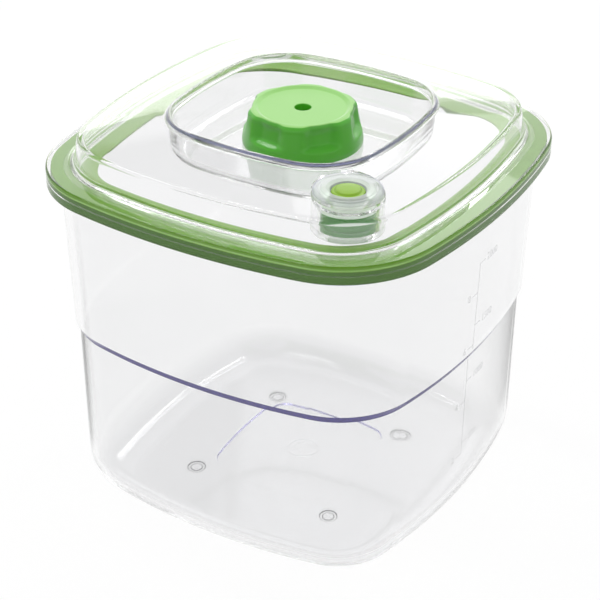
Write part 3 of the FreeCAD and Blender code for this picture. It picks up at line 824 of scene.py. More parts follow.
# Pieces
@dataclass
class Vessel:
    """The clear square vessel with its graduations and feet.

    Attributes:
        outline: Outline at the foot of the upper wall.
        wall: Wall thickness.
        floor: Floor thickness.
        base_bend: Outer radius of the base edge.
        lower_foot: Half width at the top of the base edge.
        lower_top: Half width under the ledge.
        rim: Half width at the foot of the rim band.
        ledge: Height of the ledge's foot.
        ledge_rise: Rise of the ledge.
        band: Height of the rim band.
        band_proud: How far the rim band stands out.
        crease: Radius that softens the ledge.
        panel: Outline of the sunk panel in the floor.
        panel_sink: How far the panel is sunk.
        shade_share: Share of the base edge's rise over which the painted shade of the base reaches.
        foot_radius: Radius of a foot.
    """

    outline: BowedSquare = BowedSquare(74.4 * MM, 229.0 * MM, 31.5 * MM)
    wall: float = 2.6 * MM
    floor: float = 3.0 * MM
    base_bend: float = 17.5 * MM
    lower_foot: float = 71.7 * MM
    lower_top: float = 72.8 * MM
    rim: float = 76.2 * MM
    ledge: float = 73.2 * MM
    ledge_rise: float = 2.9 * MM
    band: float = 4.0 * MM
    band_proud: float = 0.8 * MM
    crease: float = 0.4 * MM
    panel: BowedSquare = BowedSquare(27.5 * MM, 150.0 * MM, 6.0 * MM)
    panel_sink: float = 0.6 * MM
    shade_share: float = 0.8
    foot_radius: float = 3.6 * MM

    def __post_init__(self) -> None:
        """Read the heights and the feet's places from the frame."""
        low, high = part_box("vessel")
        self.base, self.top = low.z, high.z
        self.inside = self.base + self.floor
        self.shade_top = self.base + self.shade_share * self.base_bend
        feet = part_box("base_feet")[1]
        self.foot_offset, self.foot_top = feet.x - self.foot_radius, feet.z

    def section(self) -> list[Corner]:
        """The wall's section from the inner floor over the rim to the underside.

        Returns:
            The corners in order.
        """
        bend, wall, crease = self.base_bend, self.wall, self.crease
        inner_bend = bend - self.floor
        ledge_top = self.ledge + self.ledge_rise
        band_out = self.rim + self.band_proud
        band_foot = self.top - self.band
        flat = 2 * MM
        return [
            Corner(self.lower_foot - wall - inner_bend - flat, self.inside),
            Corner(self.lower_foot - wall, self.inside, inner_bend),
            Corner(self.rim - wall, self.top, crease),
            Corner(band_out, self.top, self.band_proud),
            Corner(band_out, band_foot + self.band_proud, SOFT),
            Corner(self.rim, band_foot, SOFT),
            Corner(self.outline.half, ledge_top, crease),
            Corner(self.lower_top, self.ledge, crease),
            Corner(self.lower_foot, self.base, bend),
            Corner(self.lower_foot - bend - flat, self.base),
        ]

    def build_wall(self, clear: Finish, ledge: Finish, band: Finish, panel: Finish, foot: Finish) -> None:
        """Make the vessel: swept wall, floor with panel and gate mark.

        Args:
            clear: Finish of the walls.
            ledge: Finish of the ledge's outside, tinted dark violet as painted shade for the dark line
                along the ledge.
            band: Finish of the rim band's foot, a lilac tint painted as shade for the thin line under the
                band.
            panel: Finish of the panel's edge, a violet tint painted as shade for its dark outline.
            foot: Finish of the foot of the wall and the floor, a darker grey tint that fades out with
                height as painted shade on the base.
        """
        shape = Shape()
        corners = self.section()
        shape.sweep(self.outline.at(corners[0].out), corners)
        half, top = self.panel.half, self.inside - self.panel_sink
        edge, margin = 0.25 * MM, 2 * MM
        shape.sweep(self.panel.at(half + margin), [
            Corner(half + margin, self.inside + THIN_GAP),
            Corner(half, self.inside, edge),
            Corner(half, top, edge),
            Corner(half - margin, top),
        ])
        shape.bridge(self.inside, self.inside + THIN_GAP)
        raised, sunk, mark_edge = top + 0.13 * MM, top - 0.12 * MM, 0.15 * MM
        shape.turn([
            Corner(9.0 * MM, top - THIN_GAP),
            Corner(6.3 * MM, top, HAIR),
            Corner(5.9 * MM, raised, mark_edge),
            Corner(5.4 * MM, raised, mark_edge),
            Corner(5.0 * MM, top, HAIR),
            Corner(3.4 * MM, top, HAIR),
            Corner(3.0 * MM, sunk, FINE),
            Corner(0.0, sunk),
        ])
        shape.bridge(top, top - THIN_GAP)
        shape.cap(self.base)
        ledge_top, crease = self.ledge + self.ledge_rise, self.crease
        band_foot = self.top - self.band
        # Painted shade: a dark violet tint on the ledge's outside stands in for the dark line along it.
        shape.paint(1, lambda place: self.ledge - crease < place.z < ledge_top + crease
                    and self.outline.half_through(place) > self.lower_top - crease)
        # Painted shade: a lilac tint at the rim band's foot stands in for the thin line under the band.
        shape.paint(2, lambda place: band_foot - crease < place.z < band_foot + self.band_proud
                    and self.outline.half_through(place) > self.rim - crease)
        near = 0.05 * MM
        # Painted shade: a violet tint on the panel's walls stands in for its dark outline.
        shape.paint(3, lambda place: top + near < place.z < self.inside - near
                    and abs(self.panel.half_through(place) - half) < crease)
        # Painted shade: the foot of the wall and the floor get a darker grey tint that fades out with
        # height.
        shape.paint(4, lambda place: place.z < self.shade_top
                    and abs(self.panel.half_through(place) - half) > crease)
        shape.finish("vessel_clear", (clear, ledge, band, panel, foot), Body.CANISTER, "clear_vessel",
                     "vessel")

    def build_feet(self, clear: Finish, ring: Finish) -> None:
        """Make the four feet, each with a rounded tread and a dimple underneath.

        Args:
            clear: Finish of their faces.
            ring: Finish of the lines round the tread and round the dimple, near-black as painted shade for
                the dark rings seen through the floor.
        """
        radius, top = self.foot_radius, self.foot_top - 0.05 * MM
        dimple, roof, line, tread = 2.1 * MM, 0.7 * MM, 0.35 * MM, 0.3 * MM
        foot = Shape()
        foot.turn([
            Corner(0.0, top),
            Corner(radius, top, FINE),
            Corner(radius, 0.0, SOFT),
            Corner(radius - line, 0.0),
            Corner(dimple + line, 0.0),
            Corner(dimple, 0.0, HAIR),
            Corner(dimple - 0.1 * MM, roof, FINE),
            Corner(0.0, roof),
        ], steps=FOOT_STEPS)
        # Painted shade: near-black lines round the tread and the dimple stand in for the dark rings that
        # the pads show through the floor.
        foot.paint(1, lambda place: place.z < tread
                   and (place.xy.length > radius - line
                        or dimple - line < place.xy.length < dimple + line))
        mesh = foot.to_mesh("foot")
        feet = Shape()
        for x_sign, y_sign in product((1, -1), repeat=2):
            copy = mesh.copy()
            copy.transform(Matrix.Translation((self.foot_offset * x_sign, self.foot_offset * y_sign, 0)))
            feet.add_mesh(copy)
        bpy.data.meshes.remove(mesh)
        feet.finish("foot_pads", (clear, ring), Body.CANISTER, "clear_foot", "base_feet")

    def wall_at(self, y: float, z: float) -> float:
        """How far out the wall's outside lies on the +X side.

        Args:
            y: Distance along the side from its middle.
            z: Height.

        Returns:
            The outside's X.
        """
        ledge_top = self.ledge + self.ledge_rise
        if z > ledge_top:
            share = (z - ledge_top) / (self.top - self.band - ledge_top)
            half = self.outline.half + share * (self.rim - self.outline.half)
        else:
            foot = self.base + self.base_bend
            share = (z - foot) / (self.ledge - foot)
            half = self.lower_foot + share * (self.lower_top - self.lower_foot)
        radius = self.outline.at(half).side_radius
        return half - radius + math.sqrt(radius ** 2 - y ** 2)

    def build_graduations(self, finish: Finish) -> None:
        """Make the raised line, ticks and plain numbers on the +X wall.

        Args:
            finish: Finish of the marks.
        """
        marks = Shape()
        line_y = -3.6 * MM
        width, proud, sunk = 0.35 * MM, 0.15 * MM, 0.05 * MM
        tick, gap = 4.0 * MM, 1.2 * MM
        for low, high in ((30.0 * MM, 72.5 * MM), (77.5 * MM, 113.2 * MM)):
            self._bar(marks, line_y, (low + high) / 2, width, high - low)
        right = {"500": 35.3 * MM, "1000": 62.8 * MM, "1500": 87.6 * MM, "2000": 113.2 * MM}
        left = {"2": 30.5 * MM, "4": 54.2 * MM, "6": 79.0 * MM, "8": 101.1 * MM}
        for side, rows in ((1, right), (-1, left)):
            for text, level in rows.items():
                self._bar(marks, line_y + side * tick / 2, level, tick, width)
                self._number(marks, text, line_y + side * (tick + gap), level, side)
        for vert in marks.bm.verts:
            vert.co.x = self.wall_at(vert.co.y, vert.co.z) + (proud if vert.co.x > 0 else -sunk)
        marks.finish("wall_graduations", (finish,), Body.CANISTER, "clear_vessel")

    @staticmethod
    def _bar(marks: Shape, y: float, z: float, width: float, height: float) -> None:
        """Draw one bar flat on the YZ plane, in short lengths that can follow the wall.

        Args:
            marks: Shape that takes the bar.
            y: Its middle along the wall.
            z: Its middle's height.
            width: Its width along the wall.
            height: Its height.
        """
        place = Matrix.Translation((0, y, z)) @ Matrix.Diagonal((MM, width, height, 1))
        made = bmesh.ops.create_cube(marks.bm, size=1.0, matrix=place)
        long_edges = {edge for vert in made["verts"] for edge in vert.link_edges
                      if abs(edge.verts[0].co.z - edge.verts[1].co.z) > width}
        bmesh.ops.subdivide_edges(marks.bm, edges=list(long_edges), cuts=BAR_CUTS, use_grid_fill=True)

    @staticmethod
    def _number(marks: Shape, text: str, y: float, z: float, side: int) -> None:
        """Draw one number flat on the YZ plane, ending or starting at a tick.

        Args:
            marks: Shape that takes the number.
            text: The number.
            y: Where it starts or ends along the wall.
            z: Its middle's height.
            side: 1 where it stands right of the line, -1 where left.
        """
        curve = bpy.data.curves.new("number", "FONT")
        curve.body = text
        curve.size = NUMBER_SIZE
        curve.extrude = NUMBER_DEPTH
        curve.resolution_u = NUMBER_STEPS
        curve.align_x = "LEFT" if side > 0 else "RIGHT"
        curve.align_y = "CENTER"
        mesh = worked_mesh(new_item("number", curve))
        mesh.transform(Matrix(((0, 0, 1, 0), (1, 0, 0, y), (0, 1, 0, z), (0, 0, 0, 1))))
        bpy.data.curves.remove(curve)
        marks.add_mesh(mesh)
        marks.merge()


@dataclass
class Lid:
    """The clear lid with its gasket.

    Attributes:
        skirt: Outline of the skirt.
        well: Outline of the well's rim.
        skirt_wall: Thickness of the skirt.
        wall: Thickness of crown, dome and well.
        flange_top: Height of the flange at the dome's foot.
        flange_fall: Fall of the flange to its edge.
        seat: Height of the gasket's seat.
        dome_foot: Half width at the foot of the dome wall.
        shoulder: Half width at the shoulder.
        shoulder_height: Height of the shoulder.
        shoulder_bend: Radius that softens the shoulder.
        flange_bend: Radius between the dome wall and the flange.
        edge_bend: Radius of the flange's edge.
        dome_bend: Radius inside the dome's foot.
        crown_bend: Radius of the bends under the crown.
        bead: Width of the bead round the well's rim.
        bead_rise: Rise of the bead.
        well_foot: Half width at the foot of the well.
        well_floor: Height of the well's floor.
        well_under: Height of the floor's underside.
        well_bend: Radius at the well's foot.
        cup_bend: Radius under the well's foot.
        floor_run: How far the well's sections run in on its floor.
        hub_radius: Radius of the port's hub.
        hub_bore: Radius of its bore.
        hub_top: Height of its top.
        hub_bottom: Height of its foot.
        boss_radius: Radius of the release boss.
        boss_bore: Radius of its bore.
        boss_hole: Radius of the hole in its floor.
        boss_top: Height of its top.
        boss_floor: Height of its floor.
        boss_bottom: Height of its foot.
    """

    skirt: BowedSquare = BowedSquare(81.0 * MM, 266.7 * MM, 39.2 * MM)
    well: BowedSquare = BowedSquare(41.9 * MM, 159.4 * MM, 23.3 * MM)
    skirt_wall: float = 2.0 * MM
    wall: float = 2.2 * MM
    flange_top: float = 139.4 * MM
    flange_fall: float = 0.5 * MM
    seat: float = 136.6 * MM
    dome_foot: float = 71.0 * MM
    shoulder: float = 69.2 * MM
    shoulder_height: float = 148.9 * MM
    shoulder_bend: float = 1.4 * MM
    flange_bend: float = 3.2 * MM
    edge_bend: float = 1.0 * MM
    dome_bend: float = 2.0 * MM
    crown_bend: float = 1.0 * MM
    bead: float = 1.5 * MM
    bead_rise: float = 0.5 * MM
    well_foot: float = 39.8 * MM
    well_floor: float = 140.3 * MM
    well_under: float = 137.9 * MM
    well_bend: float = 3.0 * MM
    cup_bend: float = 5.3 * MM
    floor_run: float = 5 * MM
    hub_radius: float = 10.0 * MM
    hub_bore: float = 7.5 * MM
    hub_top: float = 144.5 * MM
    hub_bottom: float = 135.4 * MM
    boss_radius: float = 12.4 * MM
    boss_bore: float = 9.4 * MM
    boss_hole: float = 6.5 * MM
    boss_top: float = 151.8 * MM
    boss_floor: float = 139.8 * MM
    boss_bottom: float = 138.3 * MM

    def __post_init__(self) -> None:
        """Read the lid's heights and the release valve's place from the frame."""
        low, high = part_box("lid_shell")
        self.skirt_bottom, self.rim_height = low.z, high.z
        low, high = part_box("release_collar")
        self.release = Vector(((low.x + high.x) / 2, (low.y + high.y) / 2, 0))

    @property
    def edge_top(self) -> float:
        """Height of the flange's edge."""
        return self.flange_top - self.flange_fall

    @property
    def bead_out(self) -> float:
        """Half width at the outside of the bead."""
        return self.well.half + self.bead

    def crown_level(self, half: float, drop: float = 0.0) -> float:
        """Height of the crown's slope at a half width, a wall's drop below its outside."""
        share = (half - self.well.half) / (self.shoulder - self.well.half)
        return self.rim_height + share * (self.shoulder_height - self.rim_height) - drop

    def _edge_section(self) -> list[Corner]:
        """From the crown over shoulder, dome, flange and skirt to the crown's underside.

        Returns:
            The corners in order.
        """
        wall, start = self.wall, self.shoulder - 4 * MM
        inner_shoulder, inner_foot = self.shoulder - wall, self.dome_foot - wall
        inner_seat, end = self.skirt.half - self.skirt_wall, inner_shoulder - 3 * MM
        return [
            Corner(start, self.crown_level(start)),
            Corner(self.shoulder, self.shoulder_height, self.shoulder_bend),
            Corner(self.dome_foot, self.flange_top, self.flange_bend),
            Corner(self.skirt.half, self.edge_top, self.edge_bend),
            Corner(self.skirt.half, self.skirt_bottom, 0.15 * MM),
            Corner(inner_seat, self.skirt_bottom, HAIR),
            Corner(inner_seat, self.seat, SOFT),
            Corner(inner_foot, self.seat, SOFT),
            Corner(inner_foot, self.flange_top, self.dome_bend),
            Corner(inner_shoulder, self.crown_level(inner_shoulder, wall), self.crown_bend),
            Corner(end, self.crown_level(end, wall)),
        ]

    def _well_section(self) -> list[Corner]:
        """From the crown over the bead and down to the well's floor.

        Returns:
            The corners in order.
        """
        start, bead_top = self.well.half + 3 * MM, self.rim_height + self.bead_rise
        return [
            Corner(start, self.crown_level(start)),
            Corner(self.bead_out, self.crown_level(self.bead_out), SOFT),
            Corner(self.bead_out - 0.3 * MM, bead_top, MILD),
            Corner(self.well.half, bead_top, MILD),
            Corner(self.well_foot, self.well_floor, self.well_bend),
            Corner(self.well_foot - self.floor_run, self.well_floor),
        ]

    def _cup_section(self) -> list[Corner]:
        """From the crown's underside down the outside of the well to its underside.

        Returns:
            The corners in order.
        """
        outside = self.well_foot + self.wall
        start, top = outside + 5 * MM, outside + 1.0 * MM
        return [
            Corner(start, self.crown_level(start, self.wall)),
            Corner(top, self.crown_level(top, self.wall), self.crown_bend),
            Corner(outside, self.well_under, self.cup_bend),
            Corner(self.well_foot - self.floor_run, self.well_under),
        ]

    def _hub_section(self) -> list[Corner]:
        """From the well's floor over the port's hub and through its bore to the underside.

        Returns:
            The corners in order.
        """
        collar = self.hub_radius + 4 * MM
        return [
            Corner(collar, self.well_floor + THIN_GAP),
            Corner(self.hub_radius, self.well_floor, FULL),
            Corner(self.hub_radius, self.hub_top, GENTLE),
            Corner(self.hub_bore, self.hub_top),
            Corner(self.hub_bore, self.hub_bottom, SOFT),
            Corner(self.hub_radius, self.hub_bottom, MILD),
            Corner(self.hub_radius, self.well_under, FULL),
            Corner(collar, self.well_under - THIN_GAP),
        ]

    def build_shell(self, clear: Finish, bead: Finish, skirt: Finish, flange: Finish, edge: Finish,
                    dome: Finish, milky: Finish) -> None:
        """Make the lid: edge, crown, well, hub and release boss as one clear shell.

        Args:
            clear: Finish of the walls.
            bead: Finish of the bead round the well, a dark violet tint painted as shade for the line round
                the rim.
            skirt: Finish of the skirt's outside.
            flange: Finish of the flange's top and the well's floor.
            edge: Finish of the edge between flange and skirt, an olive tint painted as shade for the dark
                line there.
            dome: Finish of the dome wall's outside.
            milky: Finish of the release boss's top.
        """
        shape = Shape()
        outer, well, cup = self._edge_section(), self._well_section(), self._cup_section()
        shape.sweep(self.skirt.at(outer[0].out), outer)
        shape.sweep(self.well.at(well[0].out), well)
        shape.sweep(self.well.at(cup[0].out), cup)
        shape.turn(self._hub_section())
        shape.bridge(outer[0].up, well[0].up)
        shape.bridge(outer[-1].up, cup[0].up)
        shape.bridge(self.well_floor, self.well_floor + THIN_GAP)
        shape.bridge(self.well_under, self.well_under - THIN_GAP)
        shape.combine(self._boss(), Cut.UNION)
        shape.combine(self._boss_hollow(), Cut.DIFFERENCE)
        self._paint_shell(shape)
        finishes = (clear, bead, skirt, flange, edge, dome, milky)
        shape.finish("lid_clear", finishes, Body.LID, "clear_lid", "lid_shell")

    def _paint_shell(self, shape: Shape) -> None:
        """Mark out the lid's finishes: bead, skirt, flange, edge, dome and boss, in their order.

        Args:
            shape: The lid's shape.
        """
        edge_top, bead_out, skirt = self.edge_top, self.bead_out, self.skirt
        bead_foot = self.crown_level(bead_out)
        near, close, skin, strip, margin = 0.05 * MM, 0.1 * MM, 0.3 * MM, 0.7 * MM, 0.5 * MM
        bead_inside, bead_outside = bead_out - 0.6 * MM, bead_out + 0.2 * MM
        dome_low, dome_high = self.flange_top + 1.5 * MM, self.shoulder_height - 0.4 * MM
        flange_start, boss_edge = self.dome_foot + 2 * MM, self.boss_top - 1.0 * MM
        # Painted shade: a dark violet tint on the bead stands in for the dark line round the well's rim.
        shape.paint(1, lambda place: place.z > bead_foot - close
                    and bead_inside < self.well.half_through(place) < bead_outside)
        shape.paint(2, lambda place: place.z < edge_top
                    and skirt.half_through(place) > skirt.half - skin)
        shape.paint(3, lambda place: edge_top - close < place.z < self.flange_top + close
                    and flange_start < skirt.half_through(place) < skirt.half - strip)
        shape.paint(3, lambda place: abs(place.z - self.well_floor) < margin
                    and self.hub_radius + margin < place.xy.length
                    and self.well.half_through(place) < self.well_foot)
        # Painted shade: an olive tint on the edge between flange and skirt stands in for the dark line
        # there.
        shape.paint(4, lambda place: self.seat < place.z
                    and skirt.half_through(place) > skirt.half - strip)
        shape.paint(5, lambda place: dome_low < place.z < dome_high
                    and skirt.half_through(place) > self.shoulder - skin
                    and (place - self.release).xy.length > self.boss_radius + skin)
        shape.paint(6, lambda place: boss_edge < place.z < self.boss_top + close
                    and self.boss_bore - near < (place - self.release).xy.length < self.boss_radius + near,
                    whole=True)

    def _boss(self) -> Shape:
        """The release boss as a closed drum.

        Returns:
            The drum.
        """
        boss = Shape()
        boss.turn([
            Corner(0.0, self.boss_bottom),
            Corner(self.boss_radius, self.boss_bottom, BROAD),
            Corner(self.boss_radius, self.boss_top, FULL),
            Corner(0.0, self.boss_top),
        ], steps=VALVE_STEPS)
        boss.move(self.release)
        return boss

    def _boss_hollow(self) -> Shape:
        """What is cut out of the boss: the collar's seat above it, its bore and its hole.

        Returns:
            The hollow as a closed shape.
        """
        hollow = Shape()
        past = 5 * MM
        bottom, top = self.boss_bottom - past, self.rim_height + past
        seat = self.boss_radius + 0.2 * MM
        hollow.turn([
            Corner(0.0, bottom),
            Corner(self.boss_hole, bottom),
            Corner(self.boss_hole, self.boss_floor),
            Corner(self.boss_bore, self.boss_floor, SOFT),
            Corner(self.boss_bore, self.boss_top),
            Corner(seat, self.boss_top),
            Corner(seat, top),
            Corner(0.0, top),
        ], steps=VALVE_STEPS)
        hollow.move(self.release)
        return hollow

    def build_gasket(self, ring: Finish, side: Finish, thin: Finish, line: Finish) -> None:
        """Make the green ring: flat body eased under the dome, a thin flap inside and two lips.

        Args:
            ring: Finish of the ring.
            side: Finish of its outer side, a darker green painted as the shade that falls on it.
            thin: Finish of the flap inside the dome.
            line: Finish of the pale line under the dome wall, a painted highlight that stands in for the
                highlight along the dome's foot.
        """
        low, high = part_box("lid_gasket")
        press = 0.05 * MM
        top, lip_bottom = high.z + press, low.z
        rest = high.z - 3.17 * MM
        outer = self.skirt.half - self.skirt_wall + press
        inner = outer - 17.2 * MM
        groove, groove_half, groove_depth = top - 1.9 * MM, 0.35 * MM, 0.3 * MM
        flap = top - 0.9 * MM
        lip_inner, lip_outer, band_inner = 71.0 * MM, 72.6 * MM, 77.6 * MM
        step_outer, step_inner = 74.5 * MM, 74.3 * MM
        rib_inner = self.dome_foot - self.wall - 0.6 * MM
        eased = top - 0.2 * MM
        highlight_outer, highlight_inner = self.dome_foot + 0.2 * MM, self.dome_foot - self.wall - 0.1 * MM
        section = [
            Corner(inner, flap, SOFT),
            Corner(rib_inner - 1.5 * MM, flap, FINE),
            Corner(rib_inner, rest, FINE),
            Corner(lip_inner, rest, FINE),
            Corner(lip_inner, lip_bottom, MILD),
            Corner(lip_outer, lip_bottom, MILD),
            Corner(lip_outer, rest, FINE),
            Corner(band_inner, rest, FINE),
            Corner(band_inner, self.skirt_bottom, FINE),
            Corner(outer, self.skirt_bottom, HAIR),
            Corner(outer, groove - groove_half, FINE),
            Corner(outer - groove_depth, groove, FINE),
            Corner(outer, groove + groove_half, FINE),
            Corner(outer, top, 0.25 * MM),
            Corner(step_outer, top, HAIR),
            Corner(step_inner, eased, HAIR),
            Corner(highlight_outer, eased),
            Corner(highlight_inner, eased),
            Corner(rib_inner, eased),
            Corner(inner, eased, SOFT),
        ]
        shape = Shape()
        shape.sweep(self.skirt.at(inner), section, closed=True)
        # Painted shade: the gasket's outer side gets a darker green for the shade that falls on it.
        shape.paint(1, lambda place: place.z < eased
                    and self.skirt.half_through(place) > outer - 0.5 * MM)
        shape.paint(2, lambda place: self.skirt.half_through(place) < rib_inner)
        # Painted highlight: a pale strip on the gasket under the dome wall stands in for the highlight
        # along the dome's foot.
        shape.paint(3, lambda place: place.z > eased - 0.1 * MM
                    and highlight_inner < self.skirt.half_through(place) < highlight_outer)
        shape.finish("gasket_ring", (ring, side, thin, line), Body.LID, "green_gasket", "lid_gasket")


@dataclass
class Knob:
    """The green twist knob with finger scallops round it.

    Attributes:
        top_radius: Radius at the top edge.
        foot_height: Height of the flared foot.
        dish_radius: Radius of the dished top.
        dish_depth: Depth of the dish.
        roof: Thickness of the top.
        cavity: Radius of the hollow underneath.
        post: Radius of the middle post.
        socket: Radius of the socket in the post.
        port: Radius of the port.
        edge: Radius of the top edge.
        scallops: Number of scallops.
        scallop_turn: Turn of the first scallop from the X axis, in degrees.
        scallop_depth: Depth of a scallop.
        scallop_height: How far down it reaches.
        scallop_flanks: Range of the wave round the knob over which a scallop deepens.
        scallop_top: Share of its depth at the knob's top.
        scallop_in: Range of its height over which it reaches its full depth.
        scallop_out: Range of its height over which it runs out at its foot.
        scallop_rest: Width of the solid wall outside the hollow that stays round.
    """

    top_radius: float = 20.2 * MM
    foot_height: float = 1.8 * MM
    dish_radius: float = 16.4 * MM
    dish_depth: float = 0.8 * MM
    roof: float = 2.6 * MM
    cavity: float = 15.9 * MM
    post: float = 8.0 * MM
    socket: float = 5.0 * MM
    port: float = 3.0 * MM
    edge: float = 2.0 * MM
    scallops: int = 6
    scallop_turn: float = 21.3
    scallop_depth: float = 2.5 * MM
    scallop_height: float = 10.4 * MM
    scallop_flanks: Range = (0.12, 0.75)
    scallop_top: float = 0.6
    scallop_in: Range = (0.05, 0.4)
    scallop_out: Range = (0.72, 0.92)
    scallop_rest: float = 1.6 * MM

    def build(self, sides: Finish, face: Finish) -> None:
        """Make the knob and press its scallops in.

        Args:
            sides: Finish of the glossy sides.
            face: Finish of the top, rougher and a paler green that paints the light falling on the top.
        """
        low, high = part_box("knob")
        foot, top, base_radius = low.z, high.z, high.x
        dish = top - self.dish_depth
        roof = dish - self.roof
        socket_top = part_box("port_nozzle")[1].z
        post_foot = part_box("knob_washer")[1].z
        wall_foot = foot + self.foot_height
        wall = [Corner(base_radius, foot, GENTLE), Corner(base_radius, wall_foot, BROAD)]
        for row in range(1, KNOB_ROWS):
            share = row / KNOB_ROWS
            out = base_radius + share * (self.top_radius - base_radius)
            wall.append(Corner(out, wall_foot + share * (top - self.edge - wall_foot)))
        shape = Shape()
        shape.turn([
            Corner(self.port, socket_top),
            Corner(self.socket, socket_top),
            Corner(self.socket, post_foot),
            Corner(self.post, post_foot, SOFT),
            Corner(self.post, roof, BROAD),
            Corner(self.cavity, roof, FULL),
            Corner(self.cavity, foot, SOFT),
            *wall,
            Corner(self.top_radius, top, self.edge),
            Corner(self.dish_radius + self.dish_depth, top, BROAD),
            Corner(self.dish_radius - 0.4 * MM, dish, 0.9 * MM),
            Corner(self.port + 1.0 * MM, dish),
            Corner(self.port, dish, GENTLE),
        ], closed=True, steps=self.scallops * SCALLOP_STEPS)
        # Painted light: the top's finish is a paler green that stands in for the light falling on the top.
        shape.paint(1, lambda place: place.z > dish - 0.1 * MM
                    and self.port < place.xy.length < self.top_radius - 0.4 * self.edge)
        self._press_scallops(shape, top)
        shape.finish("knob_cap", (sides, face), Body.KNOB, "green_knob", "knob")

    def _press_scallops(self, shape: Shape, top: float) -> None:
        """Draw the outer wall in at each scallop, with a rounded lip at its foot.

        Args:
            shape: The knob's shape.
            top: Height of the knob's top.
        """
        start = self.cavity + self.scallop_rest
        for vert in shape.bm.verts:
            out = vert.co.xy.length
            if out < start:
                continue
            angle = math.atan2(vert.co.y, vert.co.x) - math.radians(self.scallop_turn)
            wave = 0.5 + 0.5 * math.cos(self.scallops * angle)
            across = smooth_step(*self.scallop_flanks, wave)
            down = (top - vert.co.z) / self.scallop_height
            deepening = self.scallop_top + (1 - self.scallop_top) * smooth_step(*self.scallop_in, down)
            along = deepening * (1 - smooth_step(*self.scallop_out, down))
            inward = smooth_step(start, self.top_radius, out)
            vert.co.xy *= 1 - self.scallop_depth * across * along * inward / out


def smooth_step(low: float, high: float, value: float) -> float:
    """Rise smoothly from 0 at low to 1 at high."""
    share = min(max((value - low) / (high - low), 0.0), 1.0)
    return share * share * (3 - 2 * share)


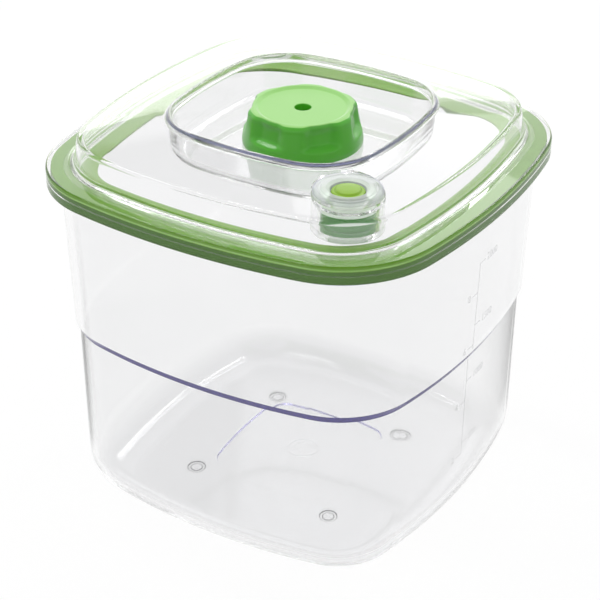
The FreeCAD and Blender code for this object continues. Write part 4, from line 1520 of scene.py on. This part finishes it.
@dataclass
class ReleaseValve:
    """The push button valve at the lid's corner.

    Attributes:
        place: Its axis on the lid.
        ring_radius: Radius of the clear ring.
        ring_height: Height of the ring over the boss.
        ring_bend: Radius of its upper edge.
        button_radius: Radius of the button.
        hole: Radius of the hole in the ring.
        step: Radius of the step on the ring's top.
        spigot: Radius of the ring's sleeve.
        sleeve_wall: Thickness of the sleeve below the button's stop.
        lap: Height that the seal laps over its washer's edge.
        flange: Radius of the button's flange.
        flange_height: Height of that flange.
        pin: Radius of the frosted pin.
    """

    place: Vector
    ring_radius: float = 12.0 * MM
    ring_height: float = 1.4 * MM
    ring_bend: float = 1.3 * MM
    button_radius: float = 5.9 * MM
    hole: float = 6.2 * MM
    step: float = 10.4 * MM
    spigot: float = 9.3 * MM
    sleeve_wall: float = 1.0 * MM
    lap: float = 1.6 * MM
    flange: float = 7.8 * MM
    flange_height: float = 1.4 * MM
    pin: float = 1.9 * MM

    def __post_init__(self) -> None:
        """Read the stack's heights from the frame."""
        collar_low, collar_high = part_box("release_collar")
        self.sleeve_bottom, self.ring_top = collar_low.z, collar_high.z
        self.ring_seat = self.ring_top - self.ring_height
        button_low, button_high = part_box("release_button")
        self.button_bottom, self.button_top = button_low.z, button_high.z
        self.stop = self.button_bottom + self.flange_height

    def build_ring(self, clear: Finish, edge: Finish, sleeve: Finish, hole: Finish) -> None:
        """Make the clear ring with its stepped top and frosted sleeve.

        Args:
            clear: Finish of the ring.
            edge: Finish of its round outside, painted lilac as shade where it turns away.
            sleeve: Finish of the sleeve under it, frosted with a painted glow.
            hole: Finish of the hole's wall, a dark grey veil painted as the shade in the hole.
        """
        shape = Shape()
        inside = self.spigot - self.sleeve_wall
        foot = self.sleeve_bottom + self.lap
        groove = self.ring_top - 0.5 * MM
        shape.turn([
            Corner(self.hole, self.stop),
            Corner(inside, self.stop, FINE),
            Corner(inside, foot, FINE),
            Corner(self.spigot, foot, FINE),
            Corner(self.spigot, self.ring_seat, FINE),
            Corner(self.ring_radius, self.ring_seat, FINE),
            Corner(self.ring_radius, self.ring_top, self.ring_bend),
            Corner(self.step, self.ring_top, SOFT),
            Corner(self.step - 0.3 * MM, groove, FINE),
            Corner(self.step - 0.9 * MM, groove, FINE),
            Corner(self.step - 1.4 * MM, self.ring_top, GENTLE),
            Corner(self.hole + 1.1 * MM, self.ring_top, MILD),
            Corner(self.hole, self.ring_top - 1.0 * MM, SOFT),
        ], closed=True, steps=VALVE_STEPS)
        # Painted shade: the ring's round outside turns lilac where it faces away.
        shape.paint(1, lambda place: place.xy.length > self.ring_radius - 1.5 * MM)
        # Painted light: the sleeve's frosted finish glows by emission.
        shape.paint(2, lambda place: place.z < self.ring_seat - 0.3 * MM)
        # Painted shade: the hole's wall gets a dark grey veil for the shade inside the hole.
        shape.paint(3, lambda place: place.xy.length < self.hole + 0.4 * MM
                    and place.z > self.stop + 0.2 * MM)
        shape.move(self.place)
        shape.finish("release_ring", (clear, edge, sleeve, hole), Body.LID, "clear_trim", "release_collar")

    def build_button(self, finish: Finish) -> None:
        """Make the lime button: a soft rim round a shallow dome, hollow underneath.

        Args:
            finish: Finish of the button.
        """
        shape = Shape()
        pin_hole, post, hollow = 1.95 * MM, 2.7 * MM, 5.0 * MM
        recess = self.button_bottom + 3.4 * MM
        socket = self.button_bottom + 4.0 * MM
        side_top = self.button_top - 0.9 * MM
        rim, dome, crest, ease = 4.7 * MM, 4.1 * MM, 2.0 * MM, 0.05 * MM
        shape.turn([
            Corner(0.0, socket),
            Corner(pin_hole, socket),
            Corner(pin_hole, self.button_bottom),
            Corner(post, self.button_bottom),
            Corner(post, recess),
            Corner(hollow, recess),
            Corner(hollow, self.button_bottom),
            Corner(self.flange, self.button_bottom, SOFT),
            Corner(self.flange, self.stop, FINE),
            Corner(self.button_radius, self.stop),
            Corner(self.button_radius, side_top, 0.7 * MM),
            Corner(rim, side_top + ease, SOFT),
            Corner(dome, side_top + 0.7 * MM, BROAD),
            Corner(crest, self.button_top - ease, 1.5 * MM),
            Corner(0.0, self.button_top),
        ], steps=VALVE_STEPS)
        shape.move(self.place)
        shape.finish("release_cap", (finish,), Body.RELEASE, "lime_button", "release_button")

    def build_pin(self, finish: Finish) -> None:
        """Make the frosted pin and its valve head.

        Args:
            finish: Finish of the pin.
        """
        low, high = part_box("release_stem")
        head = (high.x - low.x) / 2
        head_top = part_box("release_seal")[0].z
        shape = Shape()
        shape.turn([
            Corner(0.0, low.z),
            Corner(head, low.z, MILD),
            Corner(head, head_top, FINE),
            Corner(self.pin, head_top, HAIR),
            Corner(self.pin, high.z, SOFT),
            Corner(0.0, high.z),
        ], steps=PIN_STEPS)
        shape.move(self.place)
        shape.finish("release_pin", (finish,), Body.RELEASE, "frosted_plastic", "release_stem")

    def build_seat(self, seal: Finish, neck: Finish) -> None:
        """Make the green seal with a groove round it, its neck and a lip round the washer's edge.

        Args:
            seal: Finish of the seal.
            neck: Finish of the thin neck under it, frosted with a painted glow.
        """
        low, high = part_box("release_seal")
        outer = (high.x - low.x) / 2 + 0.1 * MM
        neck_radius, airway = 6.3 * MM, 3.2 * MM
        washer_low, washer_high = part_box("release_washer")
        pocket = (washer_high.x - washer_low.x) / 2 + 0.05 * MM
        lip, lip_top = self.spigot - self.sleeve_wall, self.sleeve_bottom + self.lap - THIN_GAP
        lip_foot, groove = self.sleeve_bottom + THIN_GAP, 0.5 * MM
        foot = low.z + 1.85 * MM
        middle = (foot + high.z) / 2
        shape = Shape()
        shape.turn([
            Corner(airway, low.z, FINE),
            Corner(neck_radius, low.z, FINE),
            Corner(neck_radius, foot),
            Corner(outer, foot, SOFT),
            Corner(outer, middle - groove, FINE),
            Corner(outer - groove, middle, FINE),
            Corner(outer, middle + groove, FINE),
            Corner(outer, lip_top, SOFT),
            Corner(lip, lip_top, FINE),
            Corner(lip, lip_foot),
            Corner(pocket, lip_foot),
            Corner(pocket, high.z),
            Corner(airway, high.z, FINE),
            Corner(airway, foot),
        ], closed=True, steps=VALVE_STEPS)
        # Painted light: the neck shares the sleeve's frosted finish, which glows by emission.
        shape.paint(1, lambda place: place.z < foot - 0.1 * MM)
        shape.move(self.place)
        shape.finish("release_seat", (seal, neck), Body.LID, "green_seal", "release_seal")


@dataclass
class Coil:
    """A wire spring between two seats.

    Attributes:
        node: CAD node that it stands for.
        wire: Thickness of the wire.
        turns: Number of turns.
        body: Body that it rides on.
        joint: Joint that presses it; not used.
        fixed_high: Whether its upper end is the fixed one; not used.
    """

    node: str
    wire: float
    turns: int
    body: Body
    joint: str
    fixed_high: bool

    def build(self, finish: Finish) -> None:
        """Make the spring by screwing a round section upward.

        Args:
            finish: Finish of the wire.
        """
        low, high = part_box(self.node)
        steps = COIL_STEPS * self.turns
        centre = Vector(((low.x + high.x) / 2, (low.y + high.y) / 2, low.z + self.wire / 2))
        radius = (high.y - low.y - self.wire) / 2
        rise = high.z - low.z - self.wire
        shape = Shape()
        section = Matrix.Translation((radius, 0, 0)) @ Matrix.Rotation(math.pi / 2, 4, "X")
        bmesh.ops.create_circle(shape.bm, cap_ends=True, segments=WIRE_SIDES, radius=self.wire / 2,
                                matrix=section)
        geometry = shape.bm.verts[:] + shape.bm.edges[:] + shape.bm.faces[:]
        bmesh.ops.spin(shape.bm, geom=geometry, cent=(0, 0, 0), axis=UP, dvec=UP * rise / steps,
                       angle=2 * math.pi * self.turns, steps=steps)
        shape.merge()
        shape.move(centre)
        piece = shape.finish(f"{self.node}_coil", (finish,), self.body, "steel", self.node)
        piece.modifiers.clear()
        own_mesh(piece)


def dress_nodes(finishes: dict[str, Finish]) -> None:
    """Give the CAD nodes that stay their finish.

    Args:
        finishes: Finish by node.
    """
    for node, finish in finishes.items():
        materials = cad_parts[node].data.materials
        materials.clear()
        materials.append(finish.material())
        log.info("node %s: %s", node, finish.name)


# Studio
@dataclass
class Studio:
    """Floor, light and camera.

    Attributes:
        aim: Point near the middle of the canister that the camera circles.
        distance: Distance from the aim.
        azimuth: Turn of the camera from the -Y side towards +X, in degrees.
        elevation: Height angle of the camera, in degrees.
        roll: Turn of the picture, in degrees.
        slide: Shift of the camera to the right and up.
        focal_pixels: Focal length in pixels of the picture.
        picture: Width of the picture in pixels.
        sensor: Width of the film, in millimetres.
        near_clip: Distance at which the camera begins to see.
        bounces: How often light may pass on through clear walls.
        glossy_bounces: How often it may be mirrored.
        floor_half: Half width of the floor.
        floor_drop: How far it lies under the feet.
        overhead: Strength of the light from the horizon and from above.
        mirrored: Strength of what is mirrored from low and from high up.
        mirror_heights: Heights of a mirrored direction between which that changes.
    """

    aim: Vector
    distance: float = 0.71213
    azimuth: float = 31.503
    elevation: float = 30.309
    roll: float = 0.135
    slide: tuple[float, float] = (-0.00087, 0.00098)
    focal_pixels: float = 1860.7
    picture: float = 600.0
    sensor: float = 36.0
    near_clip: float = 0.01
    bounces: int = 64
    glossy_bounces: int = 48
    floor_half: float = 3.0
    floor_drop: float = 0.1 * MM
    overhead: Range = (0.3, 1.1)
    mirrored: Range = (1.0, 0.15)
    mirror_heights: Range = (0.5, 0.62)

    def _hang(self, name: str, data: bpy.types.ID, angles: Sequence[float],
              offset: Sequence[float]) -> bpy.types.Object:
        """Place a camera or a lamp that faces the canister.

        Args:
            name: Name of the object.
            data: The camera or lamp.
            angles: Azimuth, elevation and roll, in degrees.
            offset: Shift to the right and up, and distance from the aim.

        Returns:
            The object.
        """
        azimuth, elevation, roll = (math.radians(angle) for angle in angles)
        turn = (Matrix.Rotation(azimuth, 4, "Z") @ Matrix.Rotation(math.pi / 2 - elevation, 4, "X")
                @ Matrix.Rotation(roll, 4, "Z"))
        item = new_item(name, data)
        item.matrix_world = Matrix.Translation(self.aim + turn.to_3x3() @ Vector(offset)) @ turn
        return item

    def build_camera(self) -> None:
        """Place the camera at the photograph's viewing angle."""
        camera = bpy.data.cameras.new("camera")
        camera.sensor_width = self.sensor
        camera.lens = self.focal_pixels / self.picture * self.sensor
        camera.clip_start = self.near_clip
        angles = (self.azimuth, self.elevation, self.roll)
        bpy.context.scene.camera = self._hang("camera", camera, angles, (*self.slide, self.distance))

    def build_floor(self) -> None:
        """Lay the pale floor just under the feet."""
        shape = Shape()
        bmesh.ops.create_grid(shape.bm, x_segments=1, y_segments=1, size=self.floor_half)
        shape.move(Vector((0, 0, -self.floor_drop)))
        floor = shape.to_object("floor")
        floor.data.materials.append(FloorFinish("pale_floor").material())

    def build_world(self) -> None:
        """Surround the scene with white that lights it gently and is dimmer in reflections overhead."""
        world = bpy.data.worlds.new("white_studio")
        world.use_nodes = True
        graph = Graph(world.node_tree)
        height = graph.height("Generated")
        overhead = graph.ranged(height, self.overhead)
        dimming = graph.ranged(height, self.mirrored, source=self.mirror_heights)
        lit, white, mirrored = (graph.add("Background", Color=WHITE, Strength=strength)
                                for strength in (overhead, 1.0, dimming))
        rays = graph.add("LightPath").outputs
        glossy = graph.math("GREATER_THAN", rays["Is Glossy Ray"], rays["Is Transmission Ray"])
        shown = graph.mix_shaders(graph.seen(), lit, white)
        graph.add("OutputWorld", Surface=graph.mix_shaders(glossy, shown, mirrored).outputs[0])
        bpy.context.scene.world = world

    def build_lamps(self) -> None:
        """Hang soft lamps behind and low behind, and two strips whose lines run along the lid's bends."""
        self._lamp("back_softbox", azimuth=203, elevation=41, distance=2.0, size=(0.78, 0.75), power=1.45)
        self._lamp("low_backdrop", azimuth=216, elevation=12, distance=2.0, size=(1.5, 0.75), power=3.2)
        self._lamp("top_strip", azimuth=264, elevation=63, distance=1.6, size=(0.16, 0.8), power=4.4)
        self._lamp("right_strip", azimuth=172, elevation=42, distance=1.6, size=(0.16, 0.75), power=3.4)

    def _lamp(self, name: str, azimuth: float, elevation: float, distance: float, size: Range,
              power: float) -> None:
        """Hang one soft lamp that faces the canister.

        Args:
            name: Name of the lamp.
            azimuth: Turn from the -Y side towards +X, in degrees.
            elevation: Height angle, in degrees.
            distance: Distance from the aim.
            size: Width and height.
            power: Power in watts.
        """
        lamp = bpy.data.lights.new(name, "AREA")
        lamp.shape = "RECTANGLE"
        lamp.size, lamp.size_y = size
        lamp.energy = power
        self._hang(name, lamp, (azimuth, elevation, 0.0), (0.0, 0.0, distance))

    def set_render(self) -> None:
        """Keep colours plain and let light through many clear walls."""
        scene = bpy.context.scene
        scene.view_settings.view_transform = "Standard"
        scene.cycles.max_bounces = self.bounces
        scene.cycles.transmission_bounces = self.bounces
        scene.cycles.transparent_max_bounces = self.bounces
        scene.cycles.glossy_bounces = self.glossy_bounces
        scene.cycles.caustics_reflective = False
        scene.cycles.caustics_refractive = False


def main() -> None:
    """Build the canister's pieces, dress them and set the studio."""
    clear_wall, base_shade, lid_wall = (0.948, 0.949, 0.952), (0.8, 0.8, 0.81), (0.957, 0.958, 0.961)
    vessel = Vessel()
    vessel.build_wall(
        clear=ClearFinish("clear_vessel", clear_wall),
        # Painted shade: dark violet tint on the ledge's outside.
        ledge=ClearFinish("ledge_painted_shade", clear_wall, (0.002, 0.001, 0.04)),
        # Painted shade: lilac tint at the rim band's foot.
        band=ClearFinish("band_painted_shade", clear_wall, (0.55, 0.52, 0.78)),
        # Painted shade: violet tint on the panel's edge.
        panel=ClearFinish("panel_painted_shade", clear_wall, (0.1, 0.09, 0.3)),
        # Painted shade: darker grey base, fading to the clear wall with height.
        foot=ClearFinish("base_painted_shade", base_shade, rough=0.06, pale=clear_wall,
                         fade=(4.5 * MM, vessel.shade_top)))
    vessel.build_feet(clear=VeilFinish("clear_foot", (0.88, 0.89, 0.90), 0.03),
                      # Painted shade: near-black rings on the feet.
                      ring=VeilFinish("foot_ring_painted_shade", (0.03, 0.03, 0.04), 0.95))
    vessel.build_graduations(VeilFinish("raised_marks", (0.7, 0.69, 0.74), 0.13))

    lid = Lid()
    milky = (0.93, 0.97, 0.95)
    lid.build_shell(
        clear=ClearFinish("clear_lid", lid_wall, coat=0.2),
        # Painted shade: dark violet tint on the bead.
        bead=ClearFinish("bead_painted_shade", lid_wall, (0.05, 0.055, 0.14), coat=0.6),
        skirt=ClearFinish("clear_skirt", lid_wall, ior=1.4),
        flange=ClearFinish("clear_flange", lid_wall, coat=1.0, coat_ior=1.8),
        # Painted shade: olive tint on the flange's edge.
        edge=ClearFinish("edge_painted_shade", lid_wall, (0.32, 0.42, 0.14)),
        dome=ClearFinish("clear_dome", lid_wall, coat=1.0, coat_ior=1.8),
        milky=VeilFinish("milky_boss", milky, 0.3))
    lid.build_gasket(
        ring=SolidFinish("green_silicone", (0.165, 0.37, 0.03), (0.15, 0.34, 0.026), 0.42, glow=0.1),
        # Painted shade: darker green on the gasket's outer side.
        side=SolidFinish("green_silicone_painted_shade", (0.085, 0.24, 0.014), (0.07, 0.2, 0.01), 0.42),
        thin=SolidFinish("thin_silicone", (0.23, 0.425, 0.08), (0.21, 0.4, 0.07), 0.42, glow=0.2),
        # Painted highlight: pale strip under the dome wall.
        line=SolidFinish("fillet_painted_highlight", (0.66, 0.74, 0.58), (0.62, 0.7, 0.54), 0.42))

    Knob().build(
        sides=SolidFinish("green_gloss", (0.085, 0.49, 0.022), (0.078, 0.46, 0.02), 0.3, coat=0.4),
        # Painted light: paler green on the knob's top.
        face=SolidFinish("green_top_painted_light", (0.34, 0.71, 0.19), (0.31, 0.67, 0.17), 0.45, sheen=0.8))

    release = ReleaseValve(lid.release)
    # Painted light: the frosted sleeve and neck glow by emission.
    frosted = VeilFinish("frosted_sleeve_painted_glow", (0.9, 0.96, 0.9), 0.85, painted_glow=0.3)
    release.build_ring(
        clear=VeilFinish("milky_ring", milky, 0.4),
        # Painted shade: lilac where the ring's outside turns away.
        edge=VeilFinish("ring_edge_painted_shade", (0.88, 0.93, 0.92), 0.35, rim=(0.42, 0.39, 0.6)),
        sleeve=frosted,
        # Painted shade: dark grey veil in the ring's hole.
        hole=VeilFinish("hole_painted_shade", (0.3, 0.3, 0.36), 0.6))
    release.build_button(SolidFinish("lime_plastic", (0.29, 0.5, 0.04), (0.25, 0.46, 0.035), 0.25))
    release.build_pin(VeilFinish("frosted_pin", (0.88, 0.93, 0.87), 0.4))
    release.build_seat(
        seal=SolidFinish("seal_green", (0.02, 0.37, 0.006), (0.018, 0.33, 0.005), 0.4, glow=0.1),
        neck=frosted)

    steel = SolidFinish("drawn_steel", (0.62, 0.63, 0.64), (0.54, 0.55, 0.56), 0.3, metal=1.0)
    Coil("check_spring", 0.4 * MM, 4, Body.KNOB, "check_valve_lift", fixed_high=True).build(steel)
    Coil("release_spring", 0.6 * MM, 4, Body.LID, "release_press", fixed_high=False).build(steel)

    white = SolidFinish("natural_plastic", (0.82, 0.82, 0.79), (0.76, 0.76, 0.73), 0.4, glow=0.2)
    rubber = SolidFinish("dark_rubber", (0.035, 0.035, 0.035), (0.02, 0.02, 0.02), 0.55)
    silicone = SolidFinish("white_silicone", (0.80, 0.80, 0.78), (0.74, 0.74, 0.72), 0.5, glow=0.3)
    dress_nodes({
        "port_nozzle": white, "knob_stem": white, "port_bush": white, "knob_washer": white,
        "stem_o_rings": rubber, "bush_seal": rubber, "check_valve": silicone,
        "stem_clip": steel, "release_washer": steel,
    })

    studio = Studio(aim=Vector((0, 0, 72.0 * MM)))
    studio.build_camera()
    studio.build_floor()
    studio.build_world()
    studio.build_lamps()
    studio.set_render()


if __name__ == "__main__":
    logging.basicConfig(level=logging.INFO, format="%(name)s: %(message)s")
    main()
